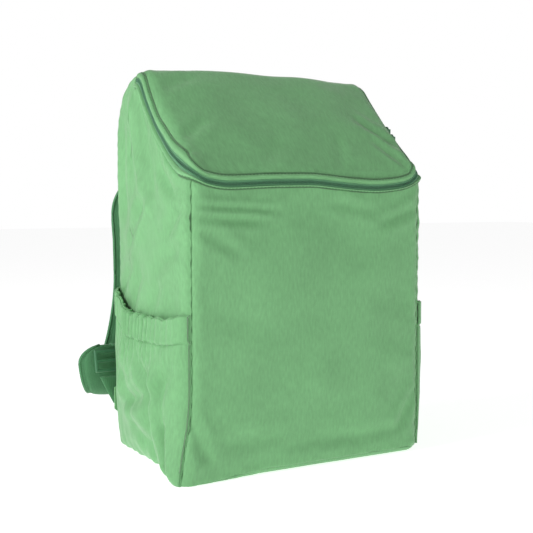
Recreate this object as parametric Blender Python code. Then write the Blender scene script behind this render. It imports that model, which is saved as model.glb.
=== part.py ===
"""Insulated cooler bag worn as a backpack: one object for each piece, in metres, +Z up.

The origin is on the floor under the middle of the bag, -Y is the front and +X is the bag's
right as seen from the front. The bag is one rounded block seen from the side: upright front
and back, a round shoulder at the top of the back, and a lid that slopes from the crown down
to the front. Every fabric, foam and liner piece is a layer of that block, cut out by the
seams. Depths under the lid's slope are measured square to the slope.
"""

import math

import bmesh
import bpy
from mathutils import Matrix, Vector

# The bag's outside
BAG_WIDTH = 0.300
BAG_DEPTH = 0.188
BAG_HEIGHT = 0.4325
LID_FRONT_HEIGHT = 0.3195
SHOULDER_RADIUS = 0.061
CROWN_FLAT = 0.009
CROWN_RADIUS = 0.020
LID_EDGE_RADIUS = 0.020
BASE_RADIUS = 0.020
SIDE_EDGE_RADIUS = 0.018

# Layers of the walls, from the outside in
CLEARANCE = 0.0003
FABRIC = 0.0018
ZIP_TAPE = 0.0008
FOAM = 0.006
LINER = 0.0012
BASE_BOARD = 0.002

# Bands round the mouth
LID_PANEL_RIM = 0.0030
LID_BORDER_WIDTH = 0.0062
ZIP_WINDOW = 0.0050
ZIP_CHAIN_WIDTH = 0.00125
ZIP_TAPE_WIDTH = 0.0078
BODY_BORDER_WIDTH = 0.0060
BASE_SEAM_HEIGHT = 0.0060
SIDE_SEAM_SHARE = 0.3

# Side pockets
POCKET_HEIGHT = 0.124
POCKET_START = 0.020
POCKET_BULGE = 0.022
POCKET_MARGIN = 0.014
POCKET_FABRIC = 0.0016
HEM_HEIGHT = 0.026
HEM_THICKNESS = 0.0030
HEM_GATHER = 0.80

# Back, handle and shoulder straps
BACK_PAD_WIDTH = 0.200
BACK_PAD_THICKNESS = 0.010
BACK_PAD_BOTTOM = 0.050
BACK_PAD_TOP = 0.305
HINGE_TAPE = 0.0010
HINGE_TAPE_START = 84.5
HINGE_TAPE_ANGLE = 12.0
HANDLE_SPAN = 0.100
HANDLE_REACH = 0.042
HANDLE_CORNER = 0.018
HANDLE_SECTION = (0.010, 0.006)
HANDLE_SHOULDER_ANGLE = 35.0
HANDLE_ANCHOR_OFFSET = 4.5
HANDLE_ANCHOR_ANGLE = 10.0
STRAP_WIDTH = 0.065
STRAP_THICKNESS = 0.011
STRAP_ANCHOR = (0.060, 0.0035, 0.024)
WEBBING_WIDTH = 0.025
WEBBING_THICKNESS = 0.0016
WING_TAB = 0.0026
LOCK_WIDTH = 0.034
LOCK_HEIGHT = 0.026
LOCK_THICKNESS = 0.0040
LOCK_BAR = 0.0035
LOCK_DROP = 0.006
LOCK_TILT = 12.0

# Zip sliders
SLIDER_LENGTH = 0.011
SLIDER_WIDTH = 0.0085
SLIDER_PLATE = 0.0022
SLIDER_PITCH = 0.0135
SLIDER_PARK = 0.075
BRIDGE_BAR = 0.0012
BRIDGE_WIDTH = 0.0022
BRIDGE_WINDOW = 0.0026
PULL_WIDTH = 0.0066
PULL_LENGTH = 0.024
PULL_THICKNESS = 0.0012

ARC_STEPS = 5
SHOULDER_STEPS = 12
BEVEL_STEPS = 4
REACH = 0.05

# Places that follow from the sizes
FRONT = -BAG_DEPTH / 2
BACK = BAG_DEPTH / 2
SIDE = BAG_WIDTH / 2
SHOULDER_Y = BACK - SHOULDER_RADIUS
SHOULDER_Z = BAG_HEIGHT - SHOULDER_RADIUS
HINGE_Y = SHOULDER_Y
CROWN_Y = SHOULDER_Y - CROWN_FLAT
SLOPE = math.atan2(BAG_HEIGHT - LID_FRONT_HEIGHT, CROWN_Y - FRONT)
FOAM_INSET = FABRIC + ZIP_TAPE + 2 * CLEARANCE
LINER_INSET = FOAM_INSET + FOAM + CLEARANCE
BOARD_TOP = FOAM_INSET + BASE_BOARD
BASE_FOAM_TOP = BOARD_TOP + CLEARANCE + FOAM
LINER_FLOOR = BASE_FOAM_TOP + CLEARANCE
SEAM_X = SIDE - SIDE_SEAM_SHARE * SIDE_EDGE_RADIUS

# Depths of the bands under the slope
BORDER_TOP = LID_PANEL_RIM + CLEARANCE
BORDER_BOTTOM = BORDER_TOP + LID_BORDER_WIDTH
ZIP_MIDDLE = BORDER_BOTTOM + ZIP_WINDOW / 2
BODY_BORDER_TOP = BORDER_BOTTOM + ZIP_WINDOW
BODY_BORDER_BOTTOM = BODY_BORDER_TOP + BODY_BORDER_WIDTH
PANEL_TOP = BODY_BORDER_BOTTOM + CLEARANCE

FABRIC_GREEN = (0.155, 0.392, 0.160, 1.0)
STRAP_GREEN = (0.075, 0.250, 0.100, 1.0)
BUCKLE_GREEN = (0.050, 0.165, 0.085, 1.0)
ZIP_GREEN = (0.060, 0.215, 0.085, 1.0)
FOAM_WHITE = (0.86, 0.86, 0.82, 1.0)
LINER_SILVER = (0.62, 0.64, 0.66, 1.0)
BOARD_GREY = (0.10, 0.10, 0.10, 1.0)


def clear_scene():
    for obj in list(bpy.data.objects):
        bpy.data.objects.remove(obj, do_unlink=True)


def material(name, colour, roughness, metallic=0.0):
    made = bpy.data.materials.new(name)
    made.use_nodes = True
    shader = made.node_tree.nodes["Principled BSDF"]
    shader.inputs["Base Color"].default_value = colour
    shader.inputs["Roughness"].default_value = roughness
    shader.inputs["Metallic"].default_value = metallic
    return made


def add_object(name, verts, faces, colour=None, roughness=0.8, metallic=0.0, smooth=False):
    """Make a mesh object with its own material and its faces pointing out."""
    mesh = bpy.data.meshes.new(name)
    mesh.from_pydata(verts, [], faces)
    shape = bmesh.new()
    shape.from_mesh(mesh)
    bmesh.ops.recalc_face_normals(shape, faces=shape.faces)
    shape.to_mesh(mesh)
    shape.free()
    obj = bpy.data.objects.new(name, mesh)
    bpy.context.collection.objects.link(obj)
    if colour:
        mesh.materials.append(material(name, colour, roughness, metallic))
    if smooth:
        mesh.shade_smooth()
        mesh.set_sharp_from_angle(angle=math.radians(40))
    return obj


def prism(name, outline, x_low, x_high, **look):
    """Extrude an outline of (y, z) points from x_low to x_high."""
    count = len(outline)
    verts = [(x, y, z) for x in (x_low, x_high) for y, z in outline]
    faces = [tuple(range(count)), tuple(range(2 * count - 1, count - 1, -1))]
    for i in range(count):
        after = (i + 1) % count
        faces.append((i, after, after + count, i + count))
    return add_object(name, verts, faces, **look)


def hide_cutter(obj):
    obj.hide_render = True
    obj.display_type = "WIRE"
    return obj


def add_boolean(obj, cutter, operation, solver="EXACT"):
    cut = obj.modifiers.new(operation.title() + " " + cutter.name, "BOOLEAN")
    cut.operation = operation
    cut.solver = solver
    cut.object = cutter


def offset_line(start, end, inset):
    """Move the line from start to end to its left by inset: a point on it and its direction."""
    direction = (Vector(end) - Vector(start)).normalized()
    left = Vector((-direction.y, direction.x))
    return Vector(start) + left * inset, direction


def meeting_point(first, second):
    """Where two lines cross, each given as a point and a direction."""
    (p, d), (q, e) = first, second
    cross = d.x * e.y - d.y * e.x
    along = ((q.x - p.x) * e.y - (q.y - p.y) * e.x) / cross
    return p + d * along


def rounded_corner(before, corner, after, radius, steps):
    """Points of the arc that rounds a corner between two straight sides."""
    back = (before - corner).normalized()
    ahead = (after - corner).normalized()
    half = back.angle(ahead) / 2
    centre = corner + (back + ahead).normalized() * (radius / math.sin(half))
    start = corner + back * (radius / math.tan(half)) - centre
    end = corner + ahead * (radius / math.tan(half)) - centre
    turn = start.angle_signed(end)
    points = []
    for step in range(steps + 1):
        angle = -turn * step / steps
        points.append(centre + Matrix.Rotation(angle, 2) @ start)
    return points


def side_outline(inset, floor=None):
    """The bag's side view, moved in by inset on every side and down to floor if it is given."""
    corners = [(FRONT, 0.0), (BACK, 0.0), (BACK, BAG_HEIGHT), (CROWN_Y, BAG_HEIGHT),
               (FRONT, LID_FRONT_HEIGHT)]
    radii = [BASE_RADIUS, BASE_RADIUS, SHOULDER_RADIUS, CROWN_RADIUS, LID_EDGE_RADIUS]
    steps = [ARC_STEPS, ARC_STEPS, SHOULDER_STEPS, 3, 3]
    insets = [floor if floor is not None else inset] + [inset] * 4
    lines = []
    for i, corner in enumerate(corners):
        lines.append(offset_line(corner, corners[(i + 1) % 5], insets[i]))
    moved = [meeting_point(lines[i - 1], lines[i]) for i in range(5)]
    points = []
    for i in range(5):
        radius = max(radii[i] - inset, 0.001)
        points += rounded_corner(moved[i - 1], moved[i], moved[(i + 1) % 5], radius, steps[i])
    return [(p.x, p.y) for p in points]


def block(name, inset, floor=None, **look):
    """The whole bag's shape, moved in by inset, with its side edges rounded."""
    obj = prism(name, side_outline(inset, floor), inset - SIDE, SIDE - inset, smooth=True, **look)
    bevel = obj.modifiers.new("Rounded side edges", "BEVEL")
    bevel.width = max(SIDE_EDGE_RADIUS - inset, 0.0008)
    bevel.segments = BEVEL_STEPS if inset < SIDE_EDGE_RADIUS / 2 else 2
    bevel.limit_method = "ANGLE"
    bevel.angle_limit = math.radians(60)
    return obj


def slope_z(y, depth):
    """Height at y of the plane that lies this depth under the lid's slope."""
    return LID_FRONT_HEIGHT + (y - FRONT) * math.tan(SLOPE) - depth / math.cos(SLOPE)


def band_region(name, top, bottom):
    """The space in front of the hinge between two depths under the slope."""
    near = FRONT - REACH
    far = HINGE_Y - CLEARANCE
    outline = [(near, slope_z(near, bottom)), (far, slope_z(far, bottom)),
               (far, slope_z(far, top)), (near, slope_z(near, top))]
    return hide_cutter(prism(name, outline, -SIDE - REACH, SIDE + REACH))


def under_outline(depth, floor):
    """Side view of everything below this depth, and of all that is behind the hinge."""
    near = FRONT - REACH
    return [(near, floor), (BACK + REACH, floor), (BACK + REACH, BAG_HEIGHT + REACH),
            (HINGE_Y, BAG_HEIGHT + REACH), (HINGE_Y, slope_z(HINGE_Y, depth)),
            (near, slope_z(near, depth))]


def front_outline(depth, floor):
    near = FRONT - REACH
    far = FRONT + BASE_RADIUS + FOAM
    return [(near, floor), (far, floor), (far, slope_z(far, depth)), (near, slope_z(near, depth))]


def back_outline(floor):
    """Side view of the upright back and the shoulder up to the hinge."""
    inner = SHOULDER_RADIUS / 3
    return [(BACK - inner, floor), (BACK + REACH, floor), (BACK + REACH, BAG_HEIGHT + REACH),
            (HINGE_Y, BAG_HEIGHT + REACH), (HINGE_Y, BAG_HEIGHT - inner),
            (BACK - inner, SHOULDER_Z)]


def layer(name, outer, inner, region, look, floor=None, inner_floor=None):
    """A wall piece: the block at inset outer, hollowed to inset inner, kept inside region.

    The exact solver loses thin shells of this block, so these two cuts use the manifold one.
    """
    obj = block(name, outer, floor, **look)
    if inner is not None:
        hollow = hide_cutter(block(name + "_hollow", inner, inner_floor))
        add_boolean(obj, hollow, "DIFFERENCE", "MANIFOLD")
    add_boolean(obj, region, "INTERSECT", "MANIFOLD")
    return obj


def region(name, outline, x_low, x_high):
    return hide_cutter(prism(name + "_region", outline, x_low, x_high))


def fabric():
    return {"colour": FABRIC_GREEN, "roughness": 0.85}


def make_outer_fabric():
    gusset = SEAM_X - CLEARANCE
    low = BASE_SEAM_HEIGHT + CLEARANCE
    cut = region("front_panel", front_outline(PANEL_TOP, low), -gusset, gusset)
    layer("front_panel", 0.0, FABRIC, cut, fabric())
    cut = region("back_panel", back_outline(low), -gusset, gusset)
    layer("back_panel", 0.0, FABRIC, cut, fabric())
    floor = [(FRONT - REACH, -REACH), (BACK + REACH, -REACH), (BACK + REACH, BASE_SEAM_HEIGHT),
             (FRONT - REACH, BASE_SEAM_HEIGHT)]
    layer("bottom_panel", 0.0, FABRIC, region("bottom_panel", floor, -gusset, gusset), fabric())
    for side, sign in (("left", -1), ("right", 1)):
        ends = sorted((sign * SEAM_X, sign * (SIDE + REACH)))
        name = side + "_side_panel"
        cut = region(name, under_outline(PANEL_TOP, -REACH), *ends)
        layer(name, 0.0, FABRIC, cut, fabric())


def make_mouth_bands():
    """The border strips, zip tapes and zip coils that run round the mouth."""
    tape_inset = FABRIC + CLEARANCE
    chain_look = {"colour": ZIP_GREEN, "roughness": 0.45}
    tape_look = {"colour": ZIP_GREEN, "roughness": 0.75}
    half_gap = CLEARANCE / 2
    bands = (
        ("lid_border", 0.0, FABRIC, BORDER_TOP, BORDER_BOTTOM, fabric()),
        ("body_border", 0.0, FABRIC, BODY_BORDER_TOP, BODY_BORDER_BOTTOM, fabric()),
        ("zip_tape_lid", tape_inset, tape_inset + ZIP_TAPE,
         ZIP_MIDDLE - ZIP_TAPE_WIDTH, ZIP_MIDDLE - half_gap, tape_look),
        ("zip_tape_body", tape_inset, tape_inset + ZIP_TAPE,
         ZIP_MIDDLE + half_gap, ZIP_MIDDLE + ZIP_TAPE_WIDTH, tape_look),
        ("zip_chain_lid", CLEARANCE, FABRIC,
         ZIP_MIDDLE - ZIP_CHAIN_WIDTH, ZIP_MIDDLE - half_gap, chain_look),
        ("zip_chain_body", CLEARANCE, FABRIC,
         ZIP_MIDDLE + half_gap, ZIP_MIDDLE + ZIP_CHAIN_WIDTH, chain_look),
    )
    for name, outer, inner, top, bottom, look in bands:
        layer(name, outer, inner, band_region(name + "_region", top, bottom), look)


def make_lid():
    cut = band_region("lid_panel_region", -REACH, LID_PANEL_RIM)
    layer("lid_panel", 0.0, FABRIC, cut, fabric())
    foam_bottom = FOAM_INSET + FOAM
    cut = band_region("lid_foam_region", -REACH, foam_bottom)
    layer("lid_foam", FOAM_INSET, None, cut, {"colour": FOAM_WHITE, "roughness": 0.9})
    liner_top = foam_bottom + CLEARANCE
    cut = band_region("lid_liner_region", liner_top, liner_top + LINER)
    layer("lid_liner", FOAM_INSET, None, cut, {"colour": LINER_SILVER, "roughness": 0.35})


def make_insulation():
    foam = {"colour": FOAM_WHITE, "roughness": 0.9}
    wall = FOAM_INSET + FOAM
    reach_y = (FRONT - REACH, BACK + REACH)
    board = [(reach_y[0], 0.0), (reach_y[1], 0.0), (reach_y[1], BOARD_TOP), (reach_y[0], BOARD_TOP)]
    cut = region("base_board", board, -SIDE - REACH, SIDE + REACH)
    layer("base_board", FOAM_INSET, None, cut, {"colour": BOARD_GREY, "roughness": 0.6})
    low = BOARD_TOP + CLEARANCE
    pad = [(reach_y[0], low), (reach_y[1], low), (reach_y[1], BASE_FOAM_TOP),
           (reach_y[0], BASE_FOAM_TOP)]
    layer("foam_base", FOAM_INSET, None, region("foam_base", pad, -SIDE - REACH, SIDE + REACH), foam)
    top = ZIP_MIDDLE + ZIP_CHAIN_WIDTH
    between = SIDE - wall - CLEARANCE
    cut = region("foam_front", front_outline(top, LINER_FLOOR), -between, between)
    layer("foam_front", FOAM_INSET, wall, cut, foam)
    cut = region("foam_back", back_outline(LINER_FLOOR), -between, between)
    layer("foam_back", FOAM_INSET, wall, cut, foam)
    for side, sign in (("left", -1), ("right", 1)):
        ends = sorted((sign * (SIDE - wall), sign * (SIDE + REACH)))
        cut = region("foam_" + side, under_outline(top, LINER_FLOOR), *ends)
        layer("foam_" + side, FOAM_INSET, None, cut, foam)
    cut = region("liner_tub", under_outline(top, 0.0), -SIDE - REACH, SIDE + REACH)
    layer("liner_tub", LINER_INSET, LINER_INSET + LINER, cut,
          {"colour": LINER_SILVER, "roughness": 0.35}, LINER_FLOOR, LINER_FLOOR + LINER)


def pocket_bulge(across, up):
    """How far the pocket stands off the side, for shares of its depth and height."""
    rise = math.sin(math.pi / 2 * min(up / 0.55, 1.0))
    gather = max(up - 0.55, 0.0) / 0.45
    drawn_in = 1.0 - (1.0 - HEM_GATHER) * gather * gather
    return POCKET_BULGE * math.sin(math.pi * across) ** 0.6 * rise * drawn_in


def pocket_wall(name, sign, low, high, thickness, rows, top_share, colour):
    """A curved sheet on one side of the bag, between two heights, open at its top."""
    columns = 14
    start = FRONT + POCKET_MARGIN
    depth = BAG_DEPTH - 2 * POCKET_MARGIN
    verts = []
    for skin in (0.0, thickness):
        for row in range(rows + 1):
            z = low + (high - low) * row / rows
            up = min((z - POCKET_START) / POCKET_HEIGHT, 1.0) * top_share
            for column in range(columns + 1):
                across = column / columns
                off = CLEARANCE + pocket_bulge(across, up) + skin
                verts.append((sign * (SIDE + off), start + depth * across, z))
    width = columns + 1
    layer_size = width * (rows + 1)
    faces = []
    for row in range(rows):
        for column in range(columns):
            a = row * width + column
            faces.append((a, a + 1, a + width + 1, a + width))
            b = a + layer_size
            faces.append((b, b + width, b + width + 1, b + 1))
    rim = [column for column in range(width)]
    rim += [row * width + columns for row in range(1, rows + 1)]
    rim += [rows * width + column for column in range(columns - 1, -1, -1)]
    rim += [row * width for row in range(rows - 1, 0, -1)]
    for i, here in enumerate(rim):
        there = rim[(i + 1) % len(rim)]
        faces.append((here, there, there + layer_size, here + layer_size))
    return add_object(name, verts, faces, colour=colour, roughness=0.85, smooth=True)


def make_pockets():
    top = POCKET_START + POCKET_HEIGHT
    for side, sign in (("left", -1), ("right", 1)):
        pocket_wall(side + "_pocket", sign, POCKET_START, top, POCKET_FABRIC, 10, 1.0, FABRIC_GREEN)
        pocket_wall(side + "_pocket_hem", sign, top + CLEARANCE, top + CLEARANCE + HEM_HEIGHT,
                    HEM_THICKNESS, 3, 1.0, FABRIC_GREEN)


def smooth_route(points, steps):
    """Points on a smooth curve through the given points."""
    points = [Vector(p) for p in points]
    ends = [2 * points[0] - points[1]] + points + [2 * points[-1] - points[-2]]
    route = []
    for i in range(1, len(ends) - 2):
        for step in range(steps):
            t = step / steps
            a, b, c, d = ends[i - 1:i + 3]
            route.append(0.5 * (2 * b + (c - a) * t + (2 * a - 5 * b + 4 * c - d) * t * t
                                + (3 * b - a - 3 * c + d) * t * t * t))
    return route + [points[-1]]


def ribbon(name, route, section, across, colour, roughness=0.85):
    """Sweep a section of (across, through) points along a route, its width always along across."""
    verts = []
    last = len(route) - 1
    across = Vector(across)
    for i, point in enumerate(route):
        ahead = (route[min(i + 1, last)] - route[max(i - 1, 0)]).normalized()
        through = ahead.cross(across).normalized()
        for wide, thick in section:
            verts.append(point + across * wide + through * thick)
    size = len(section)
    faces = [tuple(range(size)), tuple(range(len(verts) - 1, len(verts) - 1 - size, -1))]
    for i in range(last):
        for j in range(size):
            a = i * size + j
            b = i * size + (j + 1) % size
            faces.append((a, b, b + size, a + size))
    return add_object(name, verts, faces, colour=colour, roughness=roughness, smooth=True)


def flat_section(width, thickness, soft):
    """A strap's section: flat faces with edges that taper over the distance soft."""
    half, thick = width / 2, thickness / 2
    return [(-half, 0.0), (soft - half, -thick), (half - soft, -thick), (half, 0.0),
            (half - soft, thick), (soft - half, thick)]


def shoulder_point(radius, degrees):
    angle = math.radians(degrees)
    return (SHOULDER_Y + radius * math.cos(angle), SHOULDER_Z + radius * math.sin(angle))


def shoulder_strip(name, low, high, from_degrees, to_degrees, half_width, colour):
    """A strip that lies on the shoulder between two angles above level."""
    steps = 4
    outline = []
    for step in range(steps + 1):
        degrees = from_degrees + (to_degrees - from_degrees) * step / steps
        outline.append(shoulder_point(SHOULDER_RADIUS + high, degrees))
    for step in range(steps, -1, -1):
        degrees = from_degrees + (to_degrees - from_degrees) * step / steps
        outline.append(shoulder_point(SHOULDER_RADIUS + low, degrees))
    prism(name, outline, -half_width, half_width, colour=colour, roughness=0.8)


def make_back():
    flat = SEAM_X - SIDE_EDGE_RADIUS
    shoulder_strip("lid_hinge_tape", CLEARANCE, CLEARANCE + HINGE_TAPE,
                   HINGE_TAPE_START - HINGE_TAPE_ANGLE, HINGE_TAPE_START, flat, FABRIC_GREEN)
    low = BACK + CLEARANCE
    outline = [(low, BACK_PAD_BOTTOM), (low + BACK_PAD_THICKNESS, BACK_PAD_BOTTOM),
               (low + BACK_PAD_THICKNESS, BACK_PAD_TOP), (low, BACK_PAD_TOP)]
    pad = prism("back_pad", outline, -BACK_PAD_WIDTH / 2, BACK_PAD_WIDTH / 2,
                colour=FABRIC_GREEN, roughness=0.9)
    bevel = pad.modifiers.new("Soft edges", "BEVEL")
    bevel.width = BACK_PAD_THICKNESS / 2
    bevel.segments = 2


def make_handle():
    """A rolled handle on the shoulder: its anchor strip, and the loop that turns on its ends."""
    tilt = math.radians(HANDLE_SHOULDER_ANGLE)
    in_plane, thick = HANDLE_SECTION
    start = HANDLE_SHOULDER_ANGLE + HANDLE_ANCHOR_OFFSET
    shoulder_strip("handle_anchor", CLEARANCE, CLEARANCE + thick / 3, start,
                   start + HANDLE_ANCHOR_ANGLE, HANDLE_SPAN / 2 + in_plane, STRAP_GREEN)
    lift = SHOULDER_RADIUS + 2 * CLEARANCE + thick / 2
    y, z = shoulder_point(lift, HANDLE_SHOULDER_ANGLE)
    down = Vector((0.0, math.sin(tilt), -math.cos(tilt)))
    half = HANDLE_SPAN / 2
    flat = [(-half, 0.0)]
    for sign, first in ((-1, 180.0), (1, 90.0)):
        for step in range(ARC_STEPS + 1):
            angle = math.radians(first - 90.0 * step / ARC_STEPS)
            flat.append((sign * (half - HANDLE_CORNER) + HANDLE_CORNER * math.cos(angle),
                         HANDLE_REACH - HANDLE_CORNER + HANDLE_CORNER * math.sin(angle)))
    flat.append((half, 0.0))
    route = [Vector((x, 0.0, 0.0)) + down * reach for x, reach in flat]
    normal = Vector((0.0, math.cos(tilt), math.sin(tilt)))
    soft = thick / 4
    section = [(-thick / 2, soft - in_plane / 2), (soft - thick / 2, -in_plane / 2),
               (thick / 2 - soft, -in_plane / 2), (thick / 2, soft - in_plane / 2),
               (thick / 2, in_plane / 2 - soft), (thick / 2 - soft, in_plane / 2),
               (soft - thick / 2, in_plane / 2), (-thick / 2, in_plane / 2 - soft)]
    handle = ribbon("grab_handle", route, section, normal, STRAP_GREEN)
    handle.location = (0.0, y, z)


def strap_route(sign):
    """A shoulder strap from its anchor down behind the back, folded up on itself at its end.

    Each row is the share of the drop from the anchor to the fold, how far inside the bag's
    side the strap's middle is, and how far behind the back it is.
    """
    rows = [(0.000, 0.080, 0.0085), (0.040, 0.078, 0.0200), (0.110, 0.064, 0.0400),
            (0.225, 0.049, 0.0510), (0.400, 0.049, 0.0500), (0.580, 0.049, 0.0500),
            (0.740, 0.044, 0.0540), (0.880, 0.035, 0.0580), (0.975, 0.024, 0.0555),
            (1.015, 0.012, 0.0440), (0.975, 0.002, 0.0330), (0.900, -0.004, 0.0280),
            (0.810, -0.006, 0.0260)]
    top = SHOULDER_Z - STRAP_ANCHOR[2] + CLEARANCE
    fold = STRAP_WIDTH
    points = []
    for share, inside, behind in rows:
        points.append((sign * (SIDE - inside), BACK + behind, top - (top - fold) * share))
    return smooth_route(points, 3)


def make_straps():
    for side, sign in (("left", -1), ("right", 1)):
        route = strap_route(sign)
        section = flat_section(STRAP_WIDTH, STRAP_THICKNESS, STRAP_THICKNESS / 2)
        pivot = Vector((route[0].x, route[0].y, route[0].z))
        strap = ribbon(side + "_shoulder_strap", [p - pivot for p in route], section,
                       (1.0, 0.0, 0.0), STRAP_GREEN)
        strap.location = pivot
        wide, thick, tall = STRAP_ANCHOR
        low = SHOULDER_Z - tall + 2 * CLEARANCE + STRAP_THICKNESS / 2
        outline = [(BACK + CLEARANCE, low), (BACK + CLEARANCE + thick, low),
                   (BACK + CLEARANCE + thick, SHOULDER_Z), (BACK + CLEARANCE, SHOULDER_Z)]
        prism(side + "_strap_anchor", outline, pivot.x - wide / 2, pivot.x + wide / 2,
              colour=STRAP_GREEN, roughness=0.85)
        make_lock(side, route[-1])
        make_lower_webbing(side, sign, route[-1])


def cells(name, xs, ys, zs, solid, **look):
    """A solid made of the cells of a box grid: solid says which (i, j, k) are filled."""
    filled = {(i, j, k) for i in range(len(xs) - 1) for j in range(len(ys) - 1)
              for k in range(len(zs) - 1) if solid(i, j, k)}
    index = {}
    verts = []
    faces = []

    def corner(i, j, k):
        if (i, j, k) not in index:
            index[(i, j, k)] = len(verts)
            verts.append((xs[i], ys[j], zs[k]))
        return index[(i, j, k)]

    for i, j, k in sorted(filled):
        if (i - 1, j, k) not in filled:
            faces.append((corner(i, j, k), corner(i, j, k + 1), corner(i, j + 1, k + 1),
                          corner(i, j + 1, k)))
        if (i + 1, j, k) not in filled:
            faces.append((corner(i + 1, j, k), corner(i + 1, j + 1, k),
                          corner(i + 1, j + 1, k + 1), corner(i + 1, j, k + 1)))
        if (i, j - 1, k) not in filled:
            faces.append((corner(i, j, k), corner(i + 1, j, k), corner(i + 1, j, k + 1),
                          corner(i, j, k + 1)))
        if (i, j + 1, k) not in filled:
            faces.append((corner(i, j + 1, k), corner(i, j + 1, k + 1),
                          corner(i + 1, j + 1, k + 1), corner(i + 1, j + 1, k)))
        if (i, j, k - 1) not in filled:
            faces.append((corner(i, j, k), corner(i, j + 1, k), corner(i + 1, j + 1, k),
                          corner(i + 1, j, k)))
        if (i, j, k + 1) not in filled:
            faces.append((corner(i, j, k + 1), corner(i + 1, j, k + 1),
                          corner(i + 1, j + 1, k + 1), corner(i, j + 1, k + 1)))
    return add_object(name, verts, faces, **look)


def lock_pivot(strap_end):
    """Where a ladder-lock turns: in front of the strap's turned-up end."""
    return Vector((strap_end.x, strap_end.y - STRAP_THICKNESS / 2 - LOCK_THICKNESS,
                   strap_end.z - LOCK_DROP))


def make_lock(side, strap_end):
    """A ladder-lock: a frame with two slots, hung from its top bar."""
    half = LOCK_WIDTH / 2
    slot = (LOCK_HEIGHT - 3 * LOCK_BAR) / 2
    heights = [-LOCK_HEIGHT]
    for step in (LOCK_BAR, slot, LOCK_BAR, slot, LOCK_BAR):
        heights.append(heights[-1] + step)
    zs = [z + LOCK_BAR / 2 for z in heights]
    lock = cells(side + "_ladder_lock", [-half, LOCK_BAR - half, half - LOCK_BAR, half],
                 [-LOCK_THICKNESS / 2, LOCK_THICKNESS / 2], zs,
                 lambda i, j, k: i != 1 or k % 2 == 0, colour=BUCKLE_GREEN, roughness=0.35)
    bevel = lock.modifiers.new("Moulded edges", "BEVEL")
    bevel.width = LOCK_BAR / 5
    bevel.segments = 1
    lock.location = lock_pivot(strap_end)
    lock.rotation_euler = (math.radians(-LOCK_TILT), 0.0, 0.0)


def make_lower_webbing(side, sign, strap_end):
    """The wing tab on the bottom corner, and the webbing that runs up from it to the lock."""
    tilt = math.radians(LOCK_TILT)
    pivot = lock_pivot(strap_end)
    reach = LOCK_HEIGHT + LOCK_BAR
    end = pivot + Vector((0.0, -math.sin(tilt) * reach, -math.cos(tilt) * reach))
    tab_y = BACK + CLEARANCE + WING_TAB
    tip = Vector((sign * (SIDE + 0.004), tab_y, end.z - WEBBING_WIDTH))
    verts = []
    for y in (BACK + CLEARANCE, tab_y):
        verts += [(tip.x, y, tip.z - WEBBING_WIDTH / 2), (tip.x, y, tip.z + WEBBING_WIDTH / 2),
                  (sign * (SIDE - WEBBING_WIDTH), y, tip.z + WEBBING_WIDTH),
                  (sign * (SIDE - WEBBING_WIDTH), y, BASE_RADIUS)]
    faces = [(0, 1, 2, 3), (7, 6, 5, 4)]
    for i in range(4):
        after = (i + 1) % 4
        faces.append((i, after, after + 4, i + 4))
    add_object(side + "_wing_tab", verts, faces, colour=FABRIC_GREEN, roughness=0.85)
    start = Vector((sign * (SIDE - WEBBING_WIDTH / 3), tab_y + 2 * CLEARANCE + WEBBING_THICKNESS / 2,
                    tip.z - WEBBING_WIDTH / 4))
    middle = start.lerp(end, 0.45) + Vector((0.0, 0.001, 0.0))
    route = smooth_route([start, middle, end], 4)
    section = flat_section(WEBBING_WIDTH, WEBBING_THICKNESS, WEBBING_THICKNESS / 2)
    ribbon(side + "_lower_webbing", route, section, (1.0, 0.0, 0.0), STRAP_GREEN)


def make_slider(name, pull_name, along):
    """A slider on the right side at this distance down the slope from the hinge, and its pull."""
    down = Vector((0.0, -math.cos(SLOPE), -math.sin(SLOPE)))
    square = Vector((0.0, math.sin(SLOPE), -math.cos(SLOPE)))
    top = Vector((0.0, HINGE_Y, slope_z(HINGE_Y, ZIP_MIDDLE)))
    middle = top + down * along
    face = SIDE + CLEARANCE
    long, wide = SLIDER_LENGTH / 2, SLIDER_WIDTH / 2
    corners = [(-long, wide * 0.6), (-long * 0.5, wide), (long * 0.6, wide * 0.8), (long, wide * 0.3),
               (long, -wide * 0.3), (long * 0.6, -wide * 0.8), (-long * 0.5, -wide),
               (-long, -wide * 0.6)]
    plate = [middle + down * a + square * b for a, b in corners]
    slider = prism(name, [(p.y, p.z) for p in plate], face, face + SLIDER_PLATE,
                   colour=BUCKLE_GREEN, roughness=0.35)
    axis_x = face + SLIDER_PLATE + BRIDGE_WINDOW / 2
    half_window = BRIDGE_WINDOW / 2
    outer = axis_x + half_window + BRIDGE_BAR
    bridge = cells(name + "_bridge", [face + SLIDER_PLATE / 2, axis_x + half_window, outer],
                   [middle.y - BRIDGE_WIDTH / 2, middle.y + BRIDGE_WIDTH / 2],
                   [middle.z - half_window - BRIDGE_BAR, middle.z - half_window,
                    middle.z + half_window, middle.z + half_window + BRIDGE_BAR],
                   lambda i, j, k: i == 1 or k != 1)
    add_boolean(slider, hide_cutter(bridge), "UNION")
    make_pull(pull_name, Vector((axis_x, middle.y, middle.z)))


def make_pull(name, axis):
    """A pull that hangs from its crossbar, which the slider's bridge holds."""
    half = PULL_WIDTH / 2
    eye = BRIDGE_WIDTH / 2 + 2 * CLEARANCE
    bar = PULL_THICKNESS / 2
    hole = BRIDGE_BAR + BRIDGE_WINDOW / 2 + 2 * CLEARANCE
    pull = cells(name, [-bar, bar], [-half, -eye, eye, half],
                 [-PULL_LENGTH, -hole - bar, -bar, bar],
                 lambda i, j, k: j != 1 or k != 1, colour=BUCKLE_GREEN, roughness=0.4)
    pull.location = axis


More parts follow.
